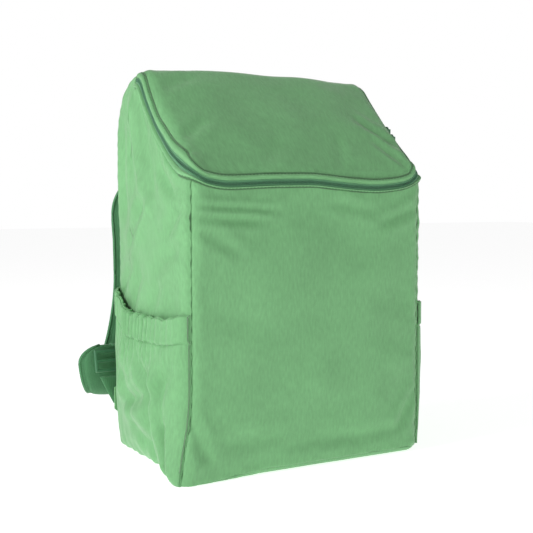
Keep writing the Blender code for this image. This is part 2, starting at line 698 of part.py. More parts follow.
def make_zip_sliders():
    make_slider("zip_slider_upper", "zip_pull_upper", SLIDER_PARK)
    make_slider("zip_slider_lower", "zip_pull_lower", SLIDER_PARK + SLIDER_PITCH)


def main():
    clear_scene()
    make_outer_fabric()
    make_mouth_bands()
    make_lid()
    make_insulation()
    make_pockets()
    make_back()
    make_handle()
    make_straps()
    make_zip_sliders()


main()
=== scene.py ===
"""Fabric, zip, padding and fittings for an insulated cooler bag worn as a backpack."""

import math

import bmesh
import bpy
import numpy as np
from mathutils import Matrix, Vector
from mathutils.bvhtree import BVHTree


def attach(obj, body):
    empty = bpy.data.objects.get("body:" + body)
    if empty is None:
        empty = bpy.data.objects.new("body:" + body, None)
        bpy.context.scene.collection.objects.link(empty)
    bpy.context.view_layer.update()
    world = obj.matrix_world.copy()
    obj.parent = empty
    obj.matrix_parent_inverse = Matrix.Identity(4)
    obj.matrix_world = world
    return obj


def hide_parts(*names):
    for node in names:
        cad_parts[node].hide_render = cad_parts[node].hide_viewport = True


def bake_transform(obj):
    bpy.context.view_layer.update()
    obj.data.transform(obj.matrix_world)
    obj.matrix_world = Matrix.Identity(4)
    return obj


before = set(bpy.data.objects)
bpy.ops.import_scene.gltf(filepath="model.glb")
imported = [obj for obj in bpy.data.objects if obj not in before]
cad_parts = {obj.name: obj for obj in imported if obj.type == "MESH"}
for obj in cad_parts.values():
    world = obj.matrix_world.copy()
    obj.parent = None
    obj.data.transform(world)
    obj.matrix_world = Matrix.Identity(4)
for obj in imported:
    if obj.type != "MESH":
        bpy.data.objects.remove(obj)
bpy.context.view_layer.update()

bl_info = {
    "name": "Cooler Bag Finish",
    "version": (1, 0, 0),
    "blender": (4, 5, 0),
    "location": "3D View > Sidebar > Cooler Bag",
    "description": "Builds the fabric, zip, padding and fittings of a cooler bag round its frame",
    "category": "Object",
}

# The bag's outline seen from the side, in metres: -Y is the front
FRONT, BACK, SIDE = -0.094, 0.094, 0.150
TOP, LID_FRONT = 0.4325, 0.3195
HINGE_Y, CROWN_Y, SHOULDER = 0.033, 0.024, 0.061
CROWN_RADIUS, LID_EDGE, BASE_RADIUS, EDGE = 0.020, 0.020, 0.010, 0.018
MOUTH_EDGE = 0.018
MOUTH_CORNER = 0.022
SLOPE = math.atan2(TOP - LID_FRONT, CROWN_Y - FRONT)
BASE_SEAM = 0.006
SEAM_SHARE = 1 - math.sqrt(0.5)
CLOTH_THICKNESS = 0.0014
# How far before the crown the lid's slope starts to level out
CROWN_EASE = 0.014

# Depths of the mouth's bands, square to the lid's slope
LID_SEAM, BORDER_LOW, ZIP_MIDDLE, BODY_HIGH, BODY_LOW = 0.0030, 0.0095, 0.0120, 0.0145, 0.0206
FRONT_DEPTHS = (0.0, LID_SEAM, BORDER_LOW, ZIP_MIDDLE, BODY_HIGH, BODY_LOW)
FRONT_DROPS = (0.0020, 0.0070, 0.0135, 0.0170, 0.0203, 0.0222)


class CoolerBagSizes(bpy.types.PropertyGroup):
    """Sizes of the sewn and padded pieces."""
    lid_dome: bpy.props.FloatProperty(
        name="Lid dome", description="How far the lid's middle swells", default=0.007,
        min=0.0, max=0.012, subtype="DISTANCE", unit="LENGTH")
    panel_bulge: bpy.props.FloatProperty(
        name="Panel bulge", description="How far a wall's middle swells", default=0.008,
        min=0.0, max=0.012, subtype="DISTANCE", unit="LENGTH")
    pocket_bulge: bpy.props.FloatProperty(
        name="Pocket bulge", description="How far a side pocket stands off the wall",
        default=0.016, min=0.004, max=0.024, subtype="DISTANCE", unit="LENGTH")
    wrinkle: bpy.props.FloatProperty(
        name="Wrinkle depth", description="Depth of the soft wrinkles in the fabric",
        default=0.0010, min=0.0, max=0.003, subtype="DISTANCE", unit="LENGTH")
    stitch_pitch: bpy.props.FloatProperty(
        name="Stitch pitch", description="From one stitch to the next", default=0.0042,
        min=0.002, max=0.01, subtype="DISTANCE", unit="LENGTH")
    stitch_length: bpy.props.FloatProperty(
        name="Stitch length", description="Length of one stitch", default=0.0030,
        min=0.001, max=0.008, subtype="DISTANCE", unit="LENGTH")
    stitch_thread: bpy.props.FloatProperty(
        name="Thread", description="Thickness of the sewing thread", default=0.0007,
        min=0.0003, max=0.002, subtype="DISTANCE", unit="LENGTH")
    coil_pitch: bpy.props.FloatProperty(
        name="Coil pitch", description="From one turn of the zip's coil to the next",
        default=0.0017, min=0.001, max=0.004, subtype="DISTANCE", unit="LENGTH")
    coil_width: bpy.props.FloatProperty(
        name="Coil width", description="Width of each half of the zip's coil", default=0.0014,
        min=0.001, max=0.004, subtype="DISTANCE", unit="LENGTH")
    strap_fill: bpy.props.FloatProperty(
        name="Strap filling", description="How full the shoulder straps are padded",
        default=0.6, min=0.0, max=1.0, subtype="FACTOR")


def colour_setting(name, description, default):
    return bpy.props.FloatVectorProperty(
        name=name, description=description, default=default, min=0.0, max=1.0, size=3,
        subtype="COLOR")


class CoolerBagColours(bpy.types.PropertyGroup):
    """Colours of the fabrics and fittings."""
    shell: colour_setting("Outer fabric", "Green of the lid, walls and pockets",
                          (0.160, 0.400, 0.168))
    # The straps' own darker green, darkened further as painted shade of the straps' shaded inner
    # faces
    strap: colour_setting("Strap fabric", "Green of the shoulder straps", (0.078, 0.245, 0.108))
    tape: colour_setting("Zip tape", "Green of the zip's woven tape", (0.120, 0.330, 0.165))
    coil: colour_setting("Zip coil", "Green of the zip's moulded coil", (0.060, 0.185, 0.100))
    buckle: colour_setting("Buckles", "Green of the moulded buckles", (0.052, 0.175, 0.085))
    metal: colour_setting("Zip metal", "Painted metal of sliders and pulls", (0.10, 0.26, 0.14))
    # The thread's own green, darkened further as painted shade of the stitch holes
    thread: colour_setting("Thread", "Sewing thread", (0.085, 0.235, 0.100))
    foam: colour_setting("Foam", "Closed-cell foam", (0.80, 0.81, 0.78))
    liner: colour_setting("Liner", "Silvery lining film", (0.70, 0.72, 0.73))
    board: colour_setting("Base board", "Stiff board under the foam", (0.09, 0.09, 0.09))


def sizes():
    return bpy.context.scene.cooler_bag_sizes


def colours():
    return bpy.context.scene.cooler_bag_colours


# Shader nodes written as expressions


class Link:
    """A node's output that can be used in sums."""

    def __init__(self, shelf, socket):
        self.shelf = shelf
        self.socket = socket

    def math(self, operation, other=None, swap=False):
        pair = (other, self) if swap else (self, other)
        values = {i: value for i, value in enumerate(pair) if value is not None}
        return self.shelf.node("ShaderNodeMath", {"operation": operation}, values)

    def __add__(self, other):
        return self.math("ADD", other)

    def __sub__(self, other):
        return self.math("SUBTRACT", other)

    def __mul__(self, other):
        return self.math("MULTIPLY", other)

    def __rsub__(self, other):
        return self.math("SUBTRACT", other, swap=True)

    __radd__ = __add__

    def sine(self):
        return self.math("SINE")

    def clamp(self):
        return self.shelf.node("ShaderNodeClamp", {}, {0: self})


class Shelf:
    """A material's nodes, with its Principled shader."""

    def __init__(self, name, viewport):
        self.material = bpy.data.materials.new(name)
        self.material.use_nodes = True
        self.material.diffuse_color = (*viewport, 1.0)
        self.tree = self.material.node_tree
        self.shader = self.tree.nodes["Principled BSDF"]

    def node(self, kind, settings, values, output=0):
        node = self.tree.nodes.new(kind)
        for name, value in settings.items():
            if name == "stops":
                self.set_stops(node, value)
            else:
                setattr(node, name, value)
        for key, value in values.items():
            self.plug(node.inputs[key], value)
        return Link(self, node.outputs[output])

    def set_stops(self, node, stops):
        ramp = node.color_ramp
        while len(ramp.elements) < len(stops):
            ramp.elements.new(0.5)
        for element, (position, colour) in zip(ramp.elements, stops):
            element.position = position
            element.color = (*colour, 1.0)

    def plug(self, socket, value):
        if isinstance(value, Link):
            self.tree.links.new(value.socket, socket)
        else:
            socket.default_value = value

    def feed(self, **values):
        for name, value in values.items():
            self.plug(self.shader.inputs[name.replace("_", " ")], value)

    def noise(self, where, scale, detail=2.0, roughness=0.5, stretch=None):
        if stretch:
            where = self.node("ShaderNodeMapping", {}, {"Vector": where, "Scale": stretch})
        return self.node("ShaderNodeTexNoise", {"noise_dimensions": "3D"},
                         {"Vector": where, "Scale": scale, "Detail": detail,
                          "Roughness": roughness})

    def place(self):
        return self.node("ShaderNodeTexCoord", {}, {}, "Object")

    def cloth_place(self):
        return self.node("ShaderNodeUVMap", {"uv_map": "cut"}, {})

    def across_along(self, where):
        """The two directions of the cloth as separate outputs."""
        parts = self.node("ShaderNodeSeparateXYZ", {}, {0: where}).socket.node
        return Link(self, parts.outputs[0]), Link(self, parts.outputs[1])

    def mix(self, factor, first, second):
        return self.node("ShaderNodeMix", {"data_type": "RGBA"},
                         {"Factor": factor, 6: first, 7: second}, 2)

    def bump(self, height, strength, distance, normal=None):
        values = {"Height": height, "Strength": strength, "Distance": distance}
        if normal is not None:
            values["Normal"] = normal
        return self.node("ShaderNodeBump", {}, values)


def shade(colour, factor):
    return tuple(min(1.0, part * factor) for part in colour) + (1.0,)


def weave_height(shelf, where, pitch):
    """Height of a plain weave: each thread goes over one and under the next."""
    across, along = shelf.across_along(where)
    turn = 2 * math.pi / pitch
    return (across * turn).sine() * (along * turn).sine() * 0.5 + 0.5


def fabric_material(name, colour, pitch, roughness, sheen, relief=0.0003, mottle=0.15):
    """Plain-woven cloth: slubs, soft patches of tone and a slight crumple."""
    shelf = Shelf(name, colour)
    where = shelf.cloth_place()
    weave = weave_height(shelf, where, pitch)
    slub = shelf.noise(where, 420.0, 2.0, 0.6, (1.0, 0.25, 1.0))
    grain = shelf.noise(where, 900.0, 1.0)
    patch = shelf.noise(where, 16.0, 3.0, 0.6)
    tone = (patch - 0.5) * 1.2 + 0.5 + (slub - 0.5) * 1.6 + (weave - 0.5) * 0.40
    base = shelf.mix(tone.clamp(), shade(colour, 1 - mottle), shade(colour, 1 + mottle))
    shelf.feed(Base_Color=base, Roughness=roughness + (grain - 0.5) * 0.2)
    shelf.feed(Sheen_Weight=sheen, Sheen_Roughness=0.35, Specular_IOR_Level=0.45)
    shelf.feed(Sheen_Tint=(0.92, 1.0, 0.90, 1.0))
    rough = shelf.bump(weave * 0.7 + slub * 0.8, 0.55, relief)
    crumple = shelf.noise(where, 45.0, 3.0, 0.55)
    shelf.feed(Normal=shelf.bump(crumple, 0.35, 0.0016, rough))
    return shelf.material


def ribbed_material(name, colour, pitch, roughness):
    """Webbing or tape: ribs across, with fine edge threads."""
    shelf = Shelf(name, colour)
    where = shelf.cloth_place()
    across, along = shelf.across_along(where)
    ribs = (along * (2 * math.pi / pitch)).sine() * 0.5 + 0.5
    cords = (across * (2 * math.pi / (pitch * 2))).sine() * 0.5 + 0.5
    fuzz = shelf.noise(where, 1500.0, 1.0)
    patch = shelf.noise(where, 45.0, 2.0)
    tone = ribs * 0.35 + cords * 0.25 + fuzz * 0.25 + patch * 0.3
    base = shelf.mix(tone.clamp(), shade(colour, 0.72), shade(colour, 1.20))
    shelf.feed(Base_Color=base, Roughness=roughness + (fuzz - 0.5) * 0.2)
    shelf.feed(Sheen_Weight=0.25, Specular_IOR_Level=0.3)
    shelf.feed(Normal=shelf.bump(ribs * 0.7 + cords * 0.5 + fuzz * 0.3, 0.7, 0.0003))
    return shelf.material


def plastic_material(name, colour, roughness, metallic=0.0, coat=0.0):
    """Moulded or painted fittings: fine grain, with lighter rubbed places."""
    shelf = Shelf(name, colour)
    where = shelf.place()
    grain = shelf.noise(where, 2600.0, 2.0)
    cloud = shelf.noise(where, 90.0, 3.0)
    scratch = shelf.noise(where, 500.0, 2.0, 0.6, (1.0, 6.0, 0.6))
    worn = shelf.node("ShaderNodeValToRGB", {"stops": [(0.56, (0, 0, 0)), (0.72, (1, 1, 1))]},
                      {0: scratch})
    tone = shelf.mix(cloud, shade(colour, 0.86), shade(colour, 1.14))
    base = shelf.mix((Link(shelf, worn.socket) * 0.22).clamp(), tone, shade(colour, 1.7))
    shelf.feed(Base_Color=base, Roughness=(roughness + (grain - 0.5) * 0.16 + (cloud - 0.5) * 0.1))
    shelf.feed(Metallic=metallic, Coat_Weight=coat, Coat_Roughness=0.25)
    shelf.feed(Normal=shelf.bump(grain + scratch * 0.4, 0.25, 0.0001))
    return shelf.material


def foam_material(name, colour):
    """Closed-cell foam with small bubbles."""
    shelf = Shelf(name, colour)
    where = shelf.place()
    cells = shelf.node("ShaderNodeTexVoronoi", {"feature": "F1"}, {"Vector": where, "Scale": 700.0})
    patch = shelf.noise(where, 30.0, 3.0)
    base = shelf.mix((cells * 0.9 + patch * 0.2).clamp(), shade(colour, 0.80), shade(colour, 1.05))
    shelf.feed(Base_Color=base, Roughness=0.9 - patch * 0.1, Specular_IOR_Level=0.2)
    shelf.feed(Normal=shelf.bump(cells, 0.6, 0.0006))
    return shelf.material


def liner_material(name, colour):
    """Silvery film: sharp crinkles, a fine embossed grain and soft gloss."""
    shelf = Shelf(name, colour)
    where = shelf.place()
    drift = shelf.node("ShaderNodeTexNoise", {}, {"Vector": where, "Scale": 28.0}, 1)
    shift = shelf.node("ShaderNodeVectorMath", {"operation": "SCALE"}, {0: drift, "Scale": 0.03})
    moved = shelf.node("ShaderNodeVectorMath", {"operation": "ADD"}, {0: where, 1: shift})
    crinkle = shelf.node("ShaderNodeTexVoronoi", {"feature": "DISTANCE_TO_EDGE"},
                         {"Vector": moved, "Scale": 42.0})
    wave = shelf.noise(where, 55.0, 4.0, 0.6)
    emboss = shelf.noise(where, 800.0, 1.0)
    base = shelf.mix(wave, shade(colour, 0.82), shade(colour, 1.12))
    shelf.feed(Base_Color=base, Metallic=0.75, Roughness=0.24 + wave * 0.22)
    folds = shelf.bump(crinkle * 0.6 + wave * 0.8, 0.6, 0.0040)
    shelf.feed(Normal=shelf.bump(emboss, 0.3, 0.0003, folds))
    return shelf.material


def board_material(name, colour):
    """Pressed fibre board: specks and short fibres."""
    shelf = Shelf(name, colour)
    where = shelf.place()
    speck = shelf.noise(where, 600.0, 3.0, 0.7)
    fibre = shelf.noise(where, 120.0, 3.0, 0.6, (6.0, 1.0, 1.0))
    base = shelf.mix((speck * 0.6 + fibre * 0.5).clamp(), shade(colour, 0.6), shade(colour, 1.8))
    shelf.feed(Base_Color=base, Roughness=0.85 - speck * 0.15)
    shelf.feed(Normal=shelf.bump(speck + fibre, 0.5, 0.0003))
    return shelf.material


def material(name):
    return bpy.data.materials[name]


# Small helpers


def placed(name, data):
    """A new object of the scene with the given data."""
    obj = bpy.data.objects.new(name, data)
    bpy.context.scene.collection.objects.link(obj)
    return obj


def shade_smooth(mesh):
    mesh.polygons.foreach_set("use_smooth", [True] * len(mesh.polygons))


def unit(rows):
    """Each row scaled to length one."""
    return rows / np.linalg.norm(rows, axis=1)[:, None]


def run_lengths(points):
    """Distance travelled along a path at each of its points."""
    return np.concatenate([[0], np.cumsum(np.linalg.norm(np.diff(points, axis=0), axis=1))])


def along_path(places, lengths, points):
    """Points of a path at distances along it."""
    return np.column_stack([np.interp(places, lengths, line) for line in points.T])


# Meshes from rows of points


def smooth_step(value, low, high):
    share = np.clip((np.asarray(value, float) - low) / (high - low), 0.0, 1.0)
    return share * share * (3 - 2 * share)


def soft_noise(u, v, scale, seed):
    """A smooth seeded field between about -1 and 1, with waves of about scale metres."""
    random = np.random.RandomState(seed)
    total = np.zeros(np.broadcast(u, v).shape)
    for step in range(9):
        angle = random.uniform(0, math.pi)
        length = scale * random.uniform(0.6, 1.6)
        phase = random.uniform(0, 2 * math.pi)
        run = (u * math.cos(angle) + v * math.sin(angle)) / length
        total = total + np.sin(2 * math.pi * run + phase)
    return total / 4.2


def fold(u, v, start, end, width, depth):
    """A crease from start to end: a groove with a raised lip on each side."""
    start, end = np.array(start), np.array(end)
    run = end - start
    length = np.hypot(*run)
    along = ((u - start[0]) * run[0] + (v - start[1]) * run[1]) / length
    across = ((u - start[0]) * run[1] - (v - start[1]) * run[0]) / length
    share = along / length
    fade = smooth_step(share, -0.10, 0.25) * (1 - smooth_step(share, 0.75, 1.10))
    groove = -np.exp(-(across / width) ** 2)
    lips = 0.65 * np.exp(-((np.abs(across) - 2.0 * width) / (1.1 * width)) ** 2)
    return depth * fade * (groove + lips)


def pucker(along, edge, pitch, reach, height, seed):
    """Small gathers that start at a seam and die out within reach of it."""
    drift = soft_noise(along, along * 0, pitch * 4, seed) * 1.8
    return height * np.sin(2 * math.pi * along / pitch + drift) * np.exp(-edge / reach)


def show(mesh, name, look):
    obj = placed(name, mesh)
    mesh.materials.append(material(look))
    shade_smooth(mesh)
    return obj


def sheet_mesh(name, points, look, around=False, ends=False, flip=False):
    """A surface through rows of points (rows, columns, 3), with a cut map in metres."""
    points = np.asarray(points, float)
    rows, columns = points.shape[:2]
    verts = points.reshape(-1, 3)
    faces = []
    wrap = columns if around else columns - 1
    for row in range(rows - 1):
        for column in range(wrap):
            after = (column + 1) % columns
            quad = [row * columns + column, row * columns + after,
                    (row + 1) * columns + after, (row + 1) * columns + column]
            faces.append(quad[::-1] if flip else quad)
    if ends:
        first, last = list(range(columns)), [(rows - 1) * columns + c for c in range(columns)]
        faces.append(first if flip else first[::-1])
        faces.append(last[::-1] if flip else last)
    mesh = bpy.data.meshes.new(name)
    mesh.from_pydata(verts.tolist(), [], faces)
    steps_u = np.linalg.norm(np.diff(points, axis=1), axis=2).mean(axis=0)
    steps_v = np.linalg.norm(np.diff(points, axis=0), axis=2).mean(axis=1)
    u = np.concatenate([[0], np.cumsum(steps_u)])
    v = np.concatenate([[0], np.cumsum(steps_v)])
    layer = mesh.uv_layers.new(name="cut")
    for polygon in mesh.polygons:
        for loop in polygon.loop_indices:
            row, column = divmod(mesh.loops[loop].vertex_index, columns)
            layer.data[loop].uv = (u[column], v[row])
    mesh.update()
    return show(mesh, name, look)


def add_thickness(obj):
    """Give a sheet of cloth its thickness, on its inner side."""
    solid = obj.modifiers.new("Cloth thickness", "SOLIDIFY")
    solid.thickness = CLOTH_THICKNESS
    solid.offset = -1.0
    solid.use_rim = True
    solid.use_even_offset = False
    return obj


def apply_modifiers(obj):
    """Replace the object's mesh by its finished shape."""
    graph = bpy.context.evaluated_depsgraph_get()
    finished = bpy.data.meshes.new_from_object(obj.evaluated_get(graph))
    finished.name = obj.name
    obj.modifiers.clear()
    obj.data = finished
    return obj


def tube(name, path, radius, look, sides=8, flat=1.0, up=(0, 0, 1)):
    """A round or flattened rod along a path of points."""
    path = np.asarray(path, float)
    tangent = unit(np.gradient(path, axis=0))
    side = unit(np.cross(tangent, np.asarray(up, float)))
    over = np.cross(side, tangent)
    turn = np.linspace(0, 2 * math.pi, sides, endpoint=False)
    rings = (path[:, None] + side[:, None] * np.cos(turn)[None, :, None] * radius
             + over[:, None] * np.sin(turn)[None, :, None] * radius * flat)
    return sheet_mesh(name, rings, look, around=True, ends=True)


def fillet(corners, radii, steps=14):
    """The closed outline through corners, each rounded to its radius."""
    outline = []
    count = len(corners)
    for index in range(count):
        here = np.array(corners[index])
        before = np.array(corners[index - 1]) - here
        after = np.array(corners[(index + 1) % count]) - here
        before /= np.linalg.norm(before)
        after /= np.linalg.norm(after)
        half = math.acos(np.clip(before @ after, -1, 1)) / 2
        radius = radii[index]
        middle = here + (before + after) / np.linalg.norm(before + after) * radius / math.sin(half)
        start = here + before * radius / math.tan(half) - middle
        end = here + after * radius / math.tan(half) - middle
        low = math.atan2(start[1], start[0])
        sweep = math.atan2(end[1], end[0]) - low
        sweep = (sweep + math.pi) % (2 * math.pi) - math.pi
        for angle in np.linspace(low, low + sweep, steps):
            outline.append(middle + radius * np.array([math.cos(angle), math.sin(angle)]))
    return np.array(outline)


OUTLINE = fillet([(FRONT, 0.0), (FRONT, LID_FRONT), (CROWN_Y, TOP), (BACK, TOP), (BACK, 0.0)],
                 [BASE_RADIUS, LID_EDGE, CROWN_RADIUS, SHOULDER, BASE_RADIUS])
OUTLINE_LENGTH = float(
    np.linalg.norm(np.diff(np.vstack([OUTLINE, OUTLINE[:1]]), axis=0), axis=1).sum())
# The outline twice round, with the distance travelled at each point
LOOP = np.vstack([OUTLINE, OUTLINE, OUTLINE[:1]])
LOOP_LENGTHS = run_lengths(LOOP)


def edge_distance(y, z):
    """How far points are inside the bag's outline."""
    ends = np.roll(OUTLINE, -1, axis=0)
    best = np.full(np.shape(y), 1.0)
    for start, end in zip(OUTLINE, ends):
        run = end - start
        length = run @ run
        if length < 1e-14:
            continue
        share = np.clip(((y - start[0]) * run[0] + (z - start[1]) * run[1]) / length, 0, 1)
        away = np.hypot(y - start[0] - share * run[0], z - start[1] - share * run[1])
        best = np.minimum(best, away)
    return best


def roof(y):
    """Height of the bag's top without its rounded front edge."""
    y = np.asarray(y, float)
    line = LID_FRONT + (y - FRONT) * math.tan(SLOPE)
    half = CROWN_RADIUS * math.tan(SLOPE / 2)
    start = CROWN_Y - half * math.cos(SLOPE)
    middle = CROWN_Y + half
    inside = np.clip(CROWN_RADIUS ** 2 - (middle - y) ** 2, 0, None)
    arc = TOP - CROWN_RADIUS + np.sqrt(inside)
    return np.where(y < start, line, np.where(y < middle, arc, TOP))


def roll(distance, radius):
    """How far a rounded edge has fallen away at a distance inside the outline."""
    short = np.clip(radius - distance, 0, radius)
    return radius - np.sqrt(radius ** 2 - short ** 2)


# The mouth: a path from the hinge down the left, across the front and up the right

SIDE_STEPS, CORNER_STEPS, FRONT_STEPS = 46, 14, 90


def mouth_path():
    """Plan points, outward directions and share of front along the mouth."""
    plan, out, share = [], [], []
    for y in np.linspace(HINGE_Y, FRONT + MOUTH_CORNER, SIDE_STEPS, endpoint=False):
        plan.append((-SIDE, y))
        out.append((-1.0, 0.0))
        share.append(0.0)
    middle = (-SIDE + MOUTH_CORNER, FRONT + MOUTH_CORNER)
    for turn in np.linspace(0, math.pi / 2, CORNER_STEPS, endpoint=False):
        aim = (-math.cos(turn), -math.sin(turn))
        plan.append((middle[0] + MOUTH_CORNER * aim[0], middle[1] + MOUTH_CORNER * aim[1]))
        out.append(aim)
        share.append(float(smooth_step(turn, 0, math.pi / 2)))
    for x in np.linspace(-SIDE + MOUTH_CORNER, 0, FRONT_STEPS // 2 + 1):
        plan.append((x, FRONT))
        out.append((0.0, -1.0))
        share.append(1.0)
    plan, out, share = np.array(plan), np.array(out), np.array(share)
    mirror = np.array([-1.0, 1.0])
    return (np.vstack([plan, (plan * mirror)[-2::-1]]), np.vstack([out, (out * mirror)[-2::-1]]),
            np.concatenate([share, share[-2::-1]]))


MOUTH_PLAN, MOUTH_OUT, MOUTH_SHARE = mouth_path()

# How far the cloth stands out over the mouth's front corners
CORNER_FILL = 0.0036
# How far the mouth rises above an even slope, along the front and along the sides
FRONT_LINE = ((-0.150, 0.0135), (-0.126, 0.0060), (-0.107, 0.0030), (-0.0535, 0.0058),
              (0.0, 0.0068), (0.045, 0.0025), (0.082, 0.0005), (0.120, 0.0040),
              (0.143, 0.0125), (0.150, 0.0150))
SIDE_LINE = ((-0.094, 0.0130), (-0.075, 0.0055), (-0.054, -0.0020), (-0.021, -0.0065),
             (0.002, -0.0040), (0.020, 0.0), (0.040, 0.0))


def eased_line(at, line):
    """A smooth line through (place, height) pairs."""
    places = np.linspace(line[0][0], line[-1][0], 400)
    heights = np.interp(places, *zip(*line))
    window = np.hanning(61)
    padded = np.concatenate([np.full(30, heights[0]), heights, np.full(30, heights[-1])])
    return np.interp(at, places, np.convolve(padded, window / window.sum(), "valid"))


def mouth_rise(x, y, share):
    """How far the mouth's bands rise above an even slope."""
    return eased_line(y, SIDE_LINE) * (1 - share) + eased_line(x, FRONT_LINE) * share


def mouth_drop(x, y, share, depth):
    """How far below the roof a band at depth lies, on the sides and on the front."""
    steep = 1 / math.cos(SLOPE)
    flatten = smooth_step(y, CROWN_Y - CROWN_EASE, HINGE_Y)
    steep = steep + (1 - steep) * flatten
    rise = mouth_rise(x, y, share)
    return depth * steep - rise, np.interp(depth, FRONT_DEPTHS, FRONT_DROPS) - rise, steep


def mouth_points(depth, proud=0.0):
    """Points all along the mouth at a depth, standing proud of the surface."""
    share = MOUTH_SHARE
    side, front, steep = mouth_drop(MOUTH_PLAN[:, 0], MOUTH_PLAN[:, 1], share, depth)
    even = side / steep
    real_depth = 0.0006 + (even + np.sqrt(even ** 2 + 0.0035 ** 2)) / 2 - 0.0004
    front_inset = np.interp(front, (-0.0059, -0.0007, 0.0040, 0.0085),
                            (0.0061, 0.0028, 0.0009, 0.0))
    inset = roll(real_depth, EDGE) * (1 - share) + front_inset * share
    inset = inset - CORNER_FILL * np.sin(math.pi * share)
    plan = MOUTH_PLAN - MOUTH_OUT * inset[:, None]
    z = roof(MOUTH_PLAN[:, 1]) - side * (1 - share) - front * share
    tip = np.arcsin(np.clip((EDGE - real_depth) / EDGE, 0, 1)) * (1 - share) + 0.25 * share
    aim = np.column_stack([MOUTH_OUT * np.cos(tip)[:, None], np.sin(tip)])
    return np.column_stack([plan, z]) + aim * np.broadcast_to(proud, z.shape)[:, None]


def mouth_band(name, section, look):
    """A closed strip along the mouth from a section of (depth, proud) pairs."""
    rows = np.stack([mouth_points(depth, proud) for depth, proud in section], axis=1)
    return sheet_mesh(name, rows, look, around=True, ends=True)


# Walls and lid


def slump(points):
    """The filled bag's lower front left corner spreads outwards and down."""
    x, y, z = points[..., 0], points[..., 1], points[..., 2]
    near = smooth_step(-x, 0.05, 0.145) * smooth_step(-y, 0.025, 0.092)
    low = (1 - smooth_step(z, 0.0, 0.105)) ** 1.5 * near
    moved = points.copy()
    moved[..., 0] = x - 0.0145 * low
    moved[..., 1] = y - 0.0030 * low
    moved[..., 2] = np.maximum(z - 0.0060 * low, 0.0008)
    return moved


def wall_edge(y, z):
    """Radius of the rounded edge of a wall: larger near the mouth's front corners."""
    near = smooth_step(z, 0.20, 0.30) * (1 - smooth_step(y, FRONT + 0.02, FRONT + 0.05))
    return EDGE + (MOUTH_EDGE - EDGE) * near


def spaced(low, high, count, crowd=0.75):
    """Places from low to high that crowd towards both ends."""
    share = np.linspace(0, 1, count)
    eased = 0.5 - 0.5 * np.cos(math.pi * share)
    return low + (high - low) * (crowd * eased + (1 - crowd) * share)


def left_mouth(depth):
    """The left half of the mouth at a depth, ordered from the front to the hinge."""
    half = len(MOUTH_PLAN) // 2 + 1
    return mouth_points(depth)[:half][::-1]


def make_side(side, sign, bulge, wrinkle):
    """A side wall from the base seam to the mouth and the rounded shoulder."""
    mouth = left_mouth(BODY_LOW)
    low_y, high_y = FRONT + EDGE * SEAM_SHARE, BACK - EDGE * SEAM_SHARE
    columns = np.sort(np.concatenate([spaced(low_y, high_y, 84),
                                      np.linspace(HINGE_Y, HINGE_Y + 0.005, 6)]))
    inset = EDGE * SEAM_SHARE
    base_in = np.clip(np.maximum(FRONT + BASE_RADIUS - columns, columns - BACK + BASE_RADIUS),
                      0, BASE_RADIUS - inset)
    bottom = BASE_RADIUS - np.sqrt((BASE_RADIUS - inset) ** 2 - base_in ** 2)
    order = mouth[:, 1].argsort(kind="stable")
    at_mouth = np.interp(columns, mouth[order, 1], mouth[order, 2])
    back = np.clip(columns - HINGE_Y, 0, SHOULDER - inset)
    at_shoulder = TOP - SHOULDER + np.sqrt((SHOULDER - inset) ** 2 - back ** 2)
    past = smooth_step(columns, HINGE_Y, HINGE_Y + 0.004)
    top = at_mouth * (1 - past) + at_shoulder * past
    rows = 0.5 - 0.5 * np.cos(math.pi * np.linspace(0, 1, 110))
    rows = 0.75 * rows + 0.25 * np.linspace(0, 1, 110)
    z = bottom[None] + (top - bottom)[None] * rows[:, None]
    y = np.broadcast_to(columns[None], z.shape)
    away = edge_distance(y, z)
    radius = wall_edge(y, z)
    x = SIDE - roll(away, radius)
    to_mouth = np.clip(top[None] - z, 0, 1)
    edge = np.minimum(away - radius * SEAM_SHARE, np.where(past[None] > 0.5, 1.0, to_mouth))
    edge = np.clip(edge, 0, None)
    swell = smooth_step(edge, 0.0, 0.09)
    x = x + bulge * swell - SEAM_PULL * np.exp(-(edge / SEAM_PULL) ** 2)
    x = x + wrinkle * smooth_step(edge, 0, 0.02) * soft_noise(y, z, 0.055, 11 + sign)
    x = x + 0.3 * wrinkle * soft_noise(y, z, 0.030, 21 + sign) * np.exp(-edge / 0.02)
    run = np.where(np.abs(y) > 0.06, z, y)
    x = x + pucker(run, edge, 0.013, 0.006, 0.0007, 31 + sign)
    for start, end, width, depth in SIDE_FOLDS:
        x = x + fold(y, z, start, end, width, depth)
    points = np.stack([sign * x, y, z], axis=2)
    obj = sheet_mesh(side + "_side_fabric", slump(points), "Outer fabric", flip=sign > 0)
    return add_thickness(obj)


SIDE_FOLDS = (
    ((0.042, 0.408), (0.010, 0.322), 0.0080, -0.0042),
    ((0.014, 0.338), (-0.014, 0.280), 0.0090, -0.0034),
    ((0.052, 0.228), (-0.020, 0.308), 0.0075, 0.0034),
    ((0.066, 0.385), (0.060, 0.270), 0.0090, 0.0030),
    ((-0.030, 0.328), (-0.070, 0.292), 0.0060, 0.0026),
    ((-0.082, 0.285), (-0.050, 0.250), 0.0070, 0.0026),
    ((-0.078, 0.245), (-0.030, 0.215), 0.0080, 0.0022),
    ((0.000, 0.215), (0.030, 0.175), 0.0080, 0.0034),
    ((0.030, 0.220), (0.072, 0.186), 0.0070, 0.0028),
    ((-0.040, 0.205), (-0.020, 0.170), 0.0070, 0.0022),
)

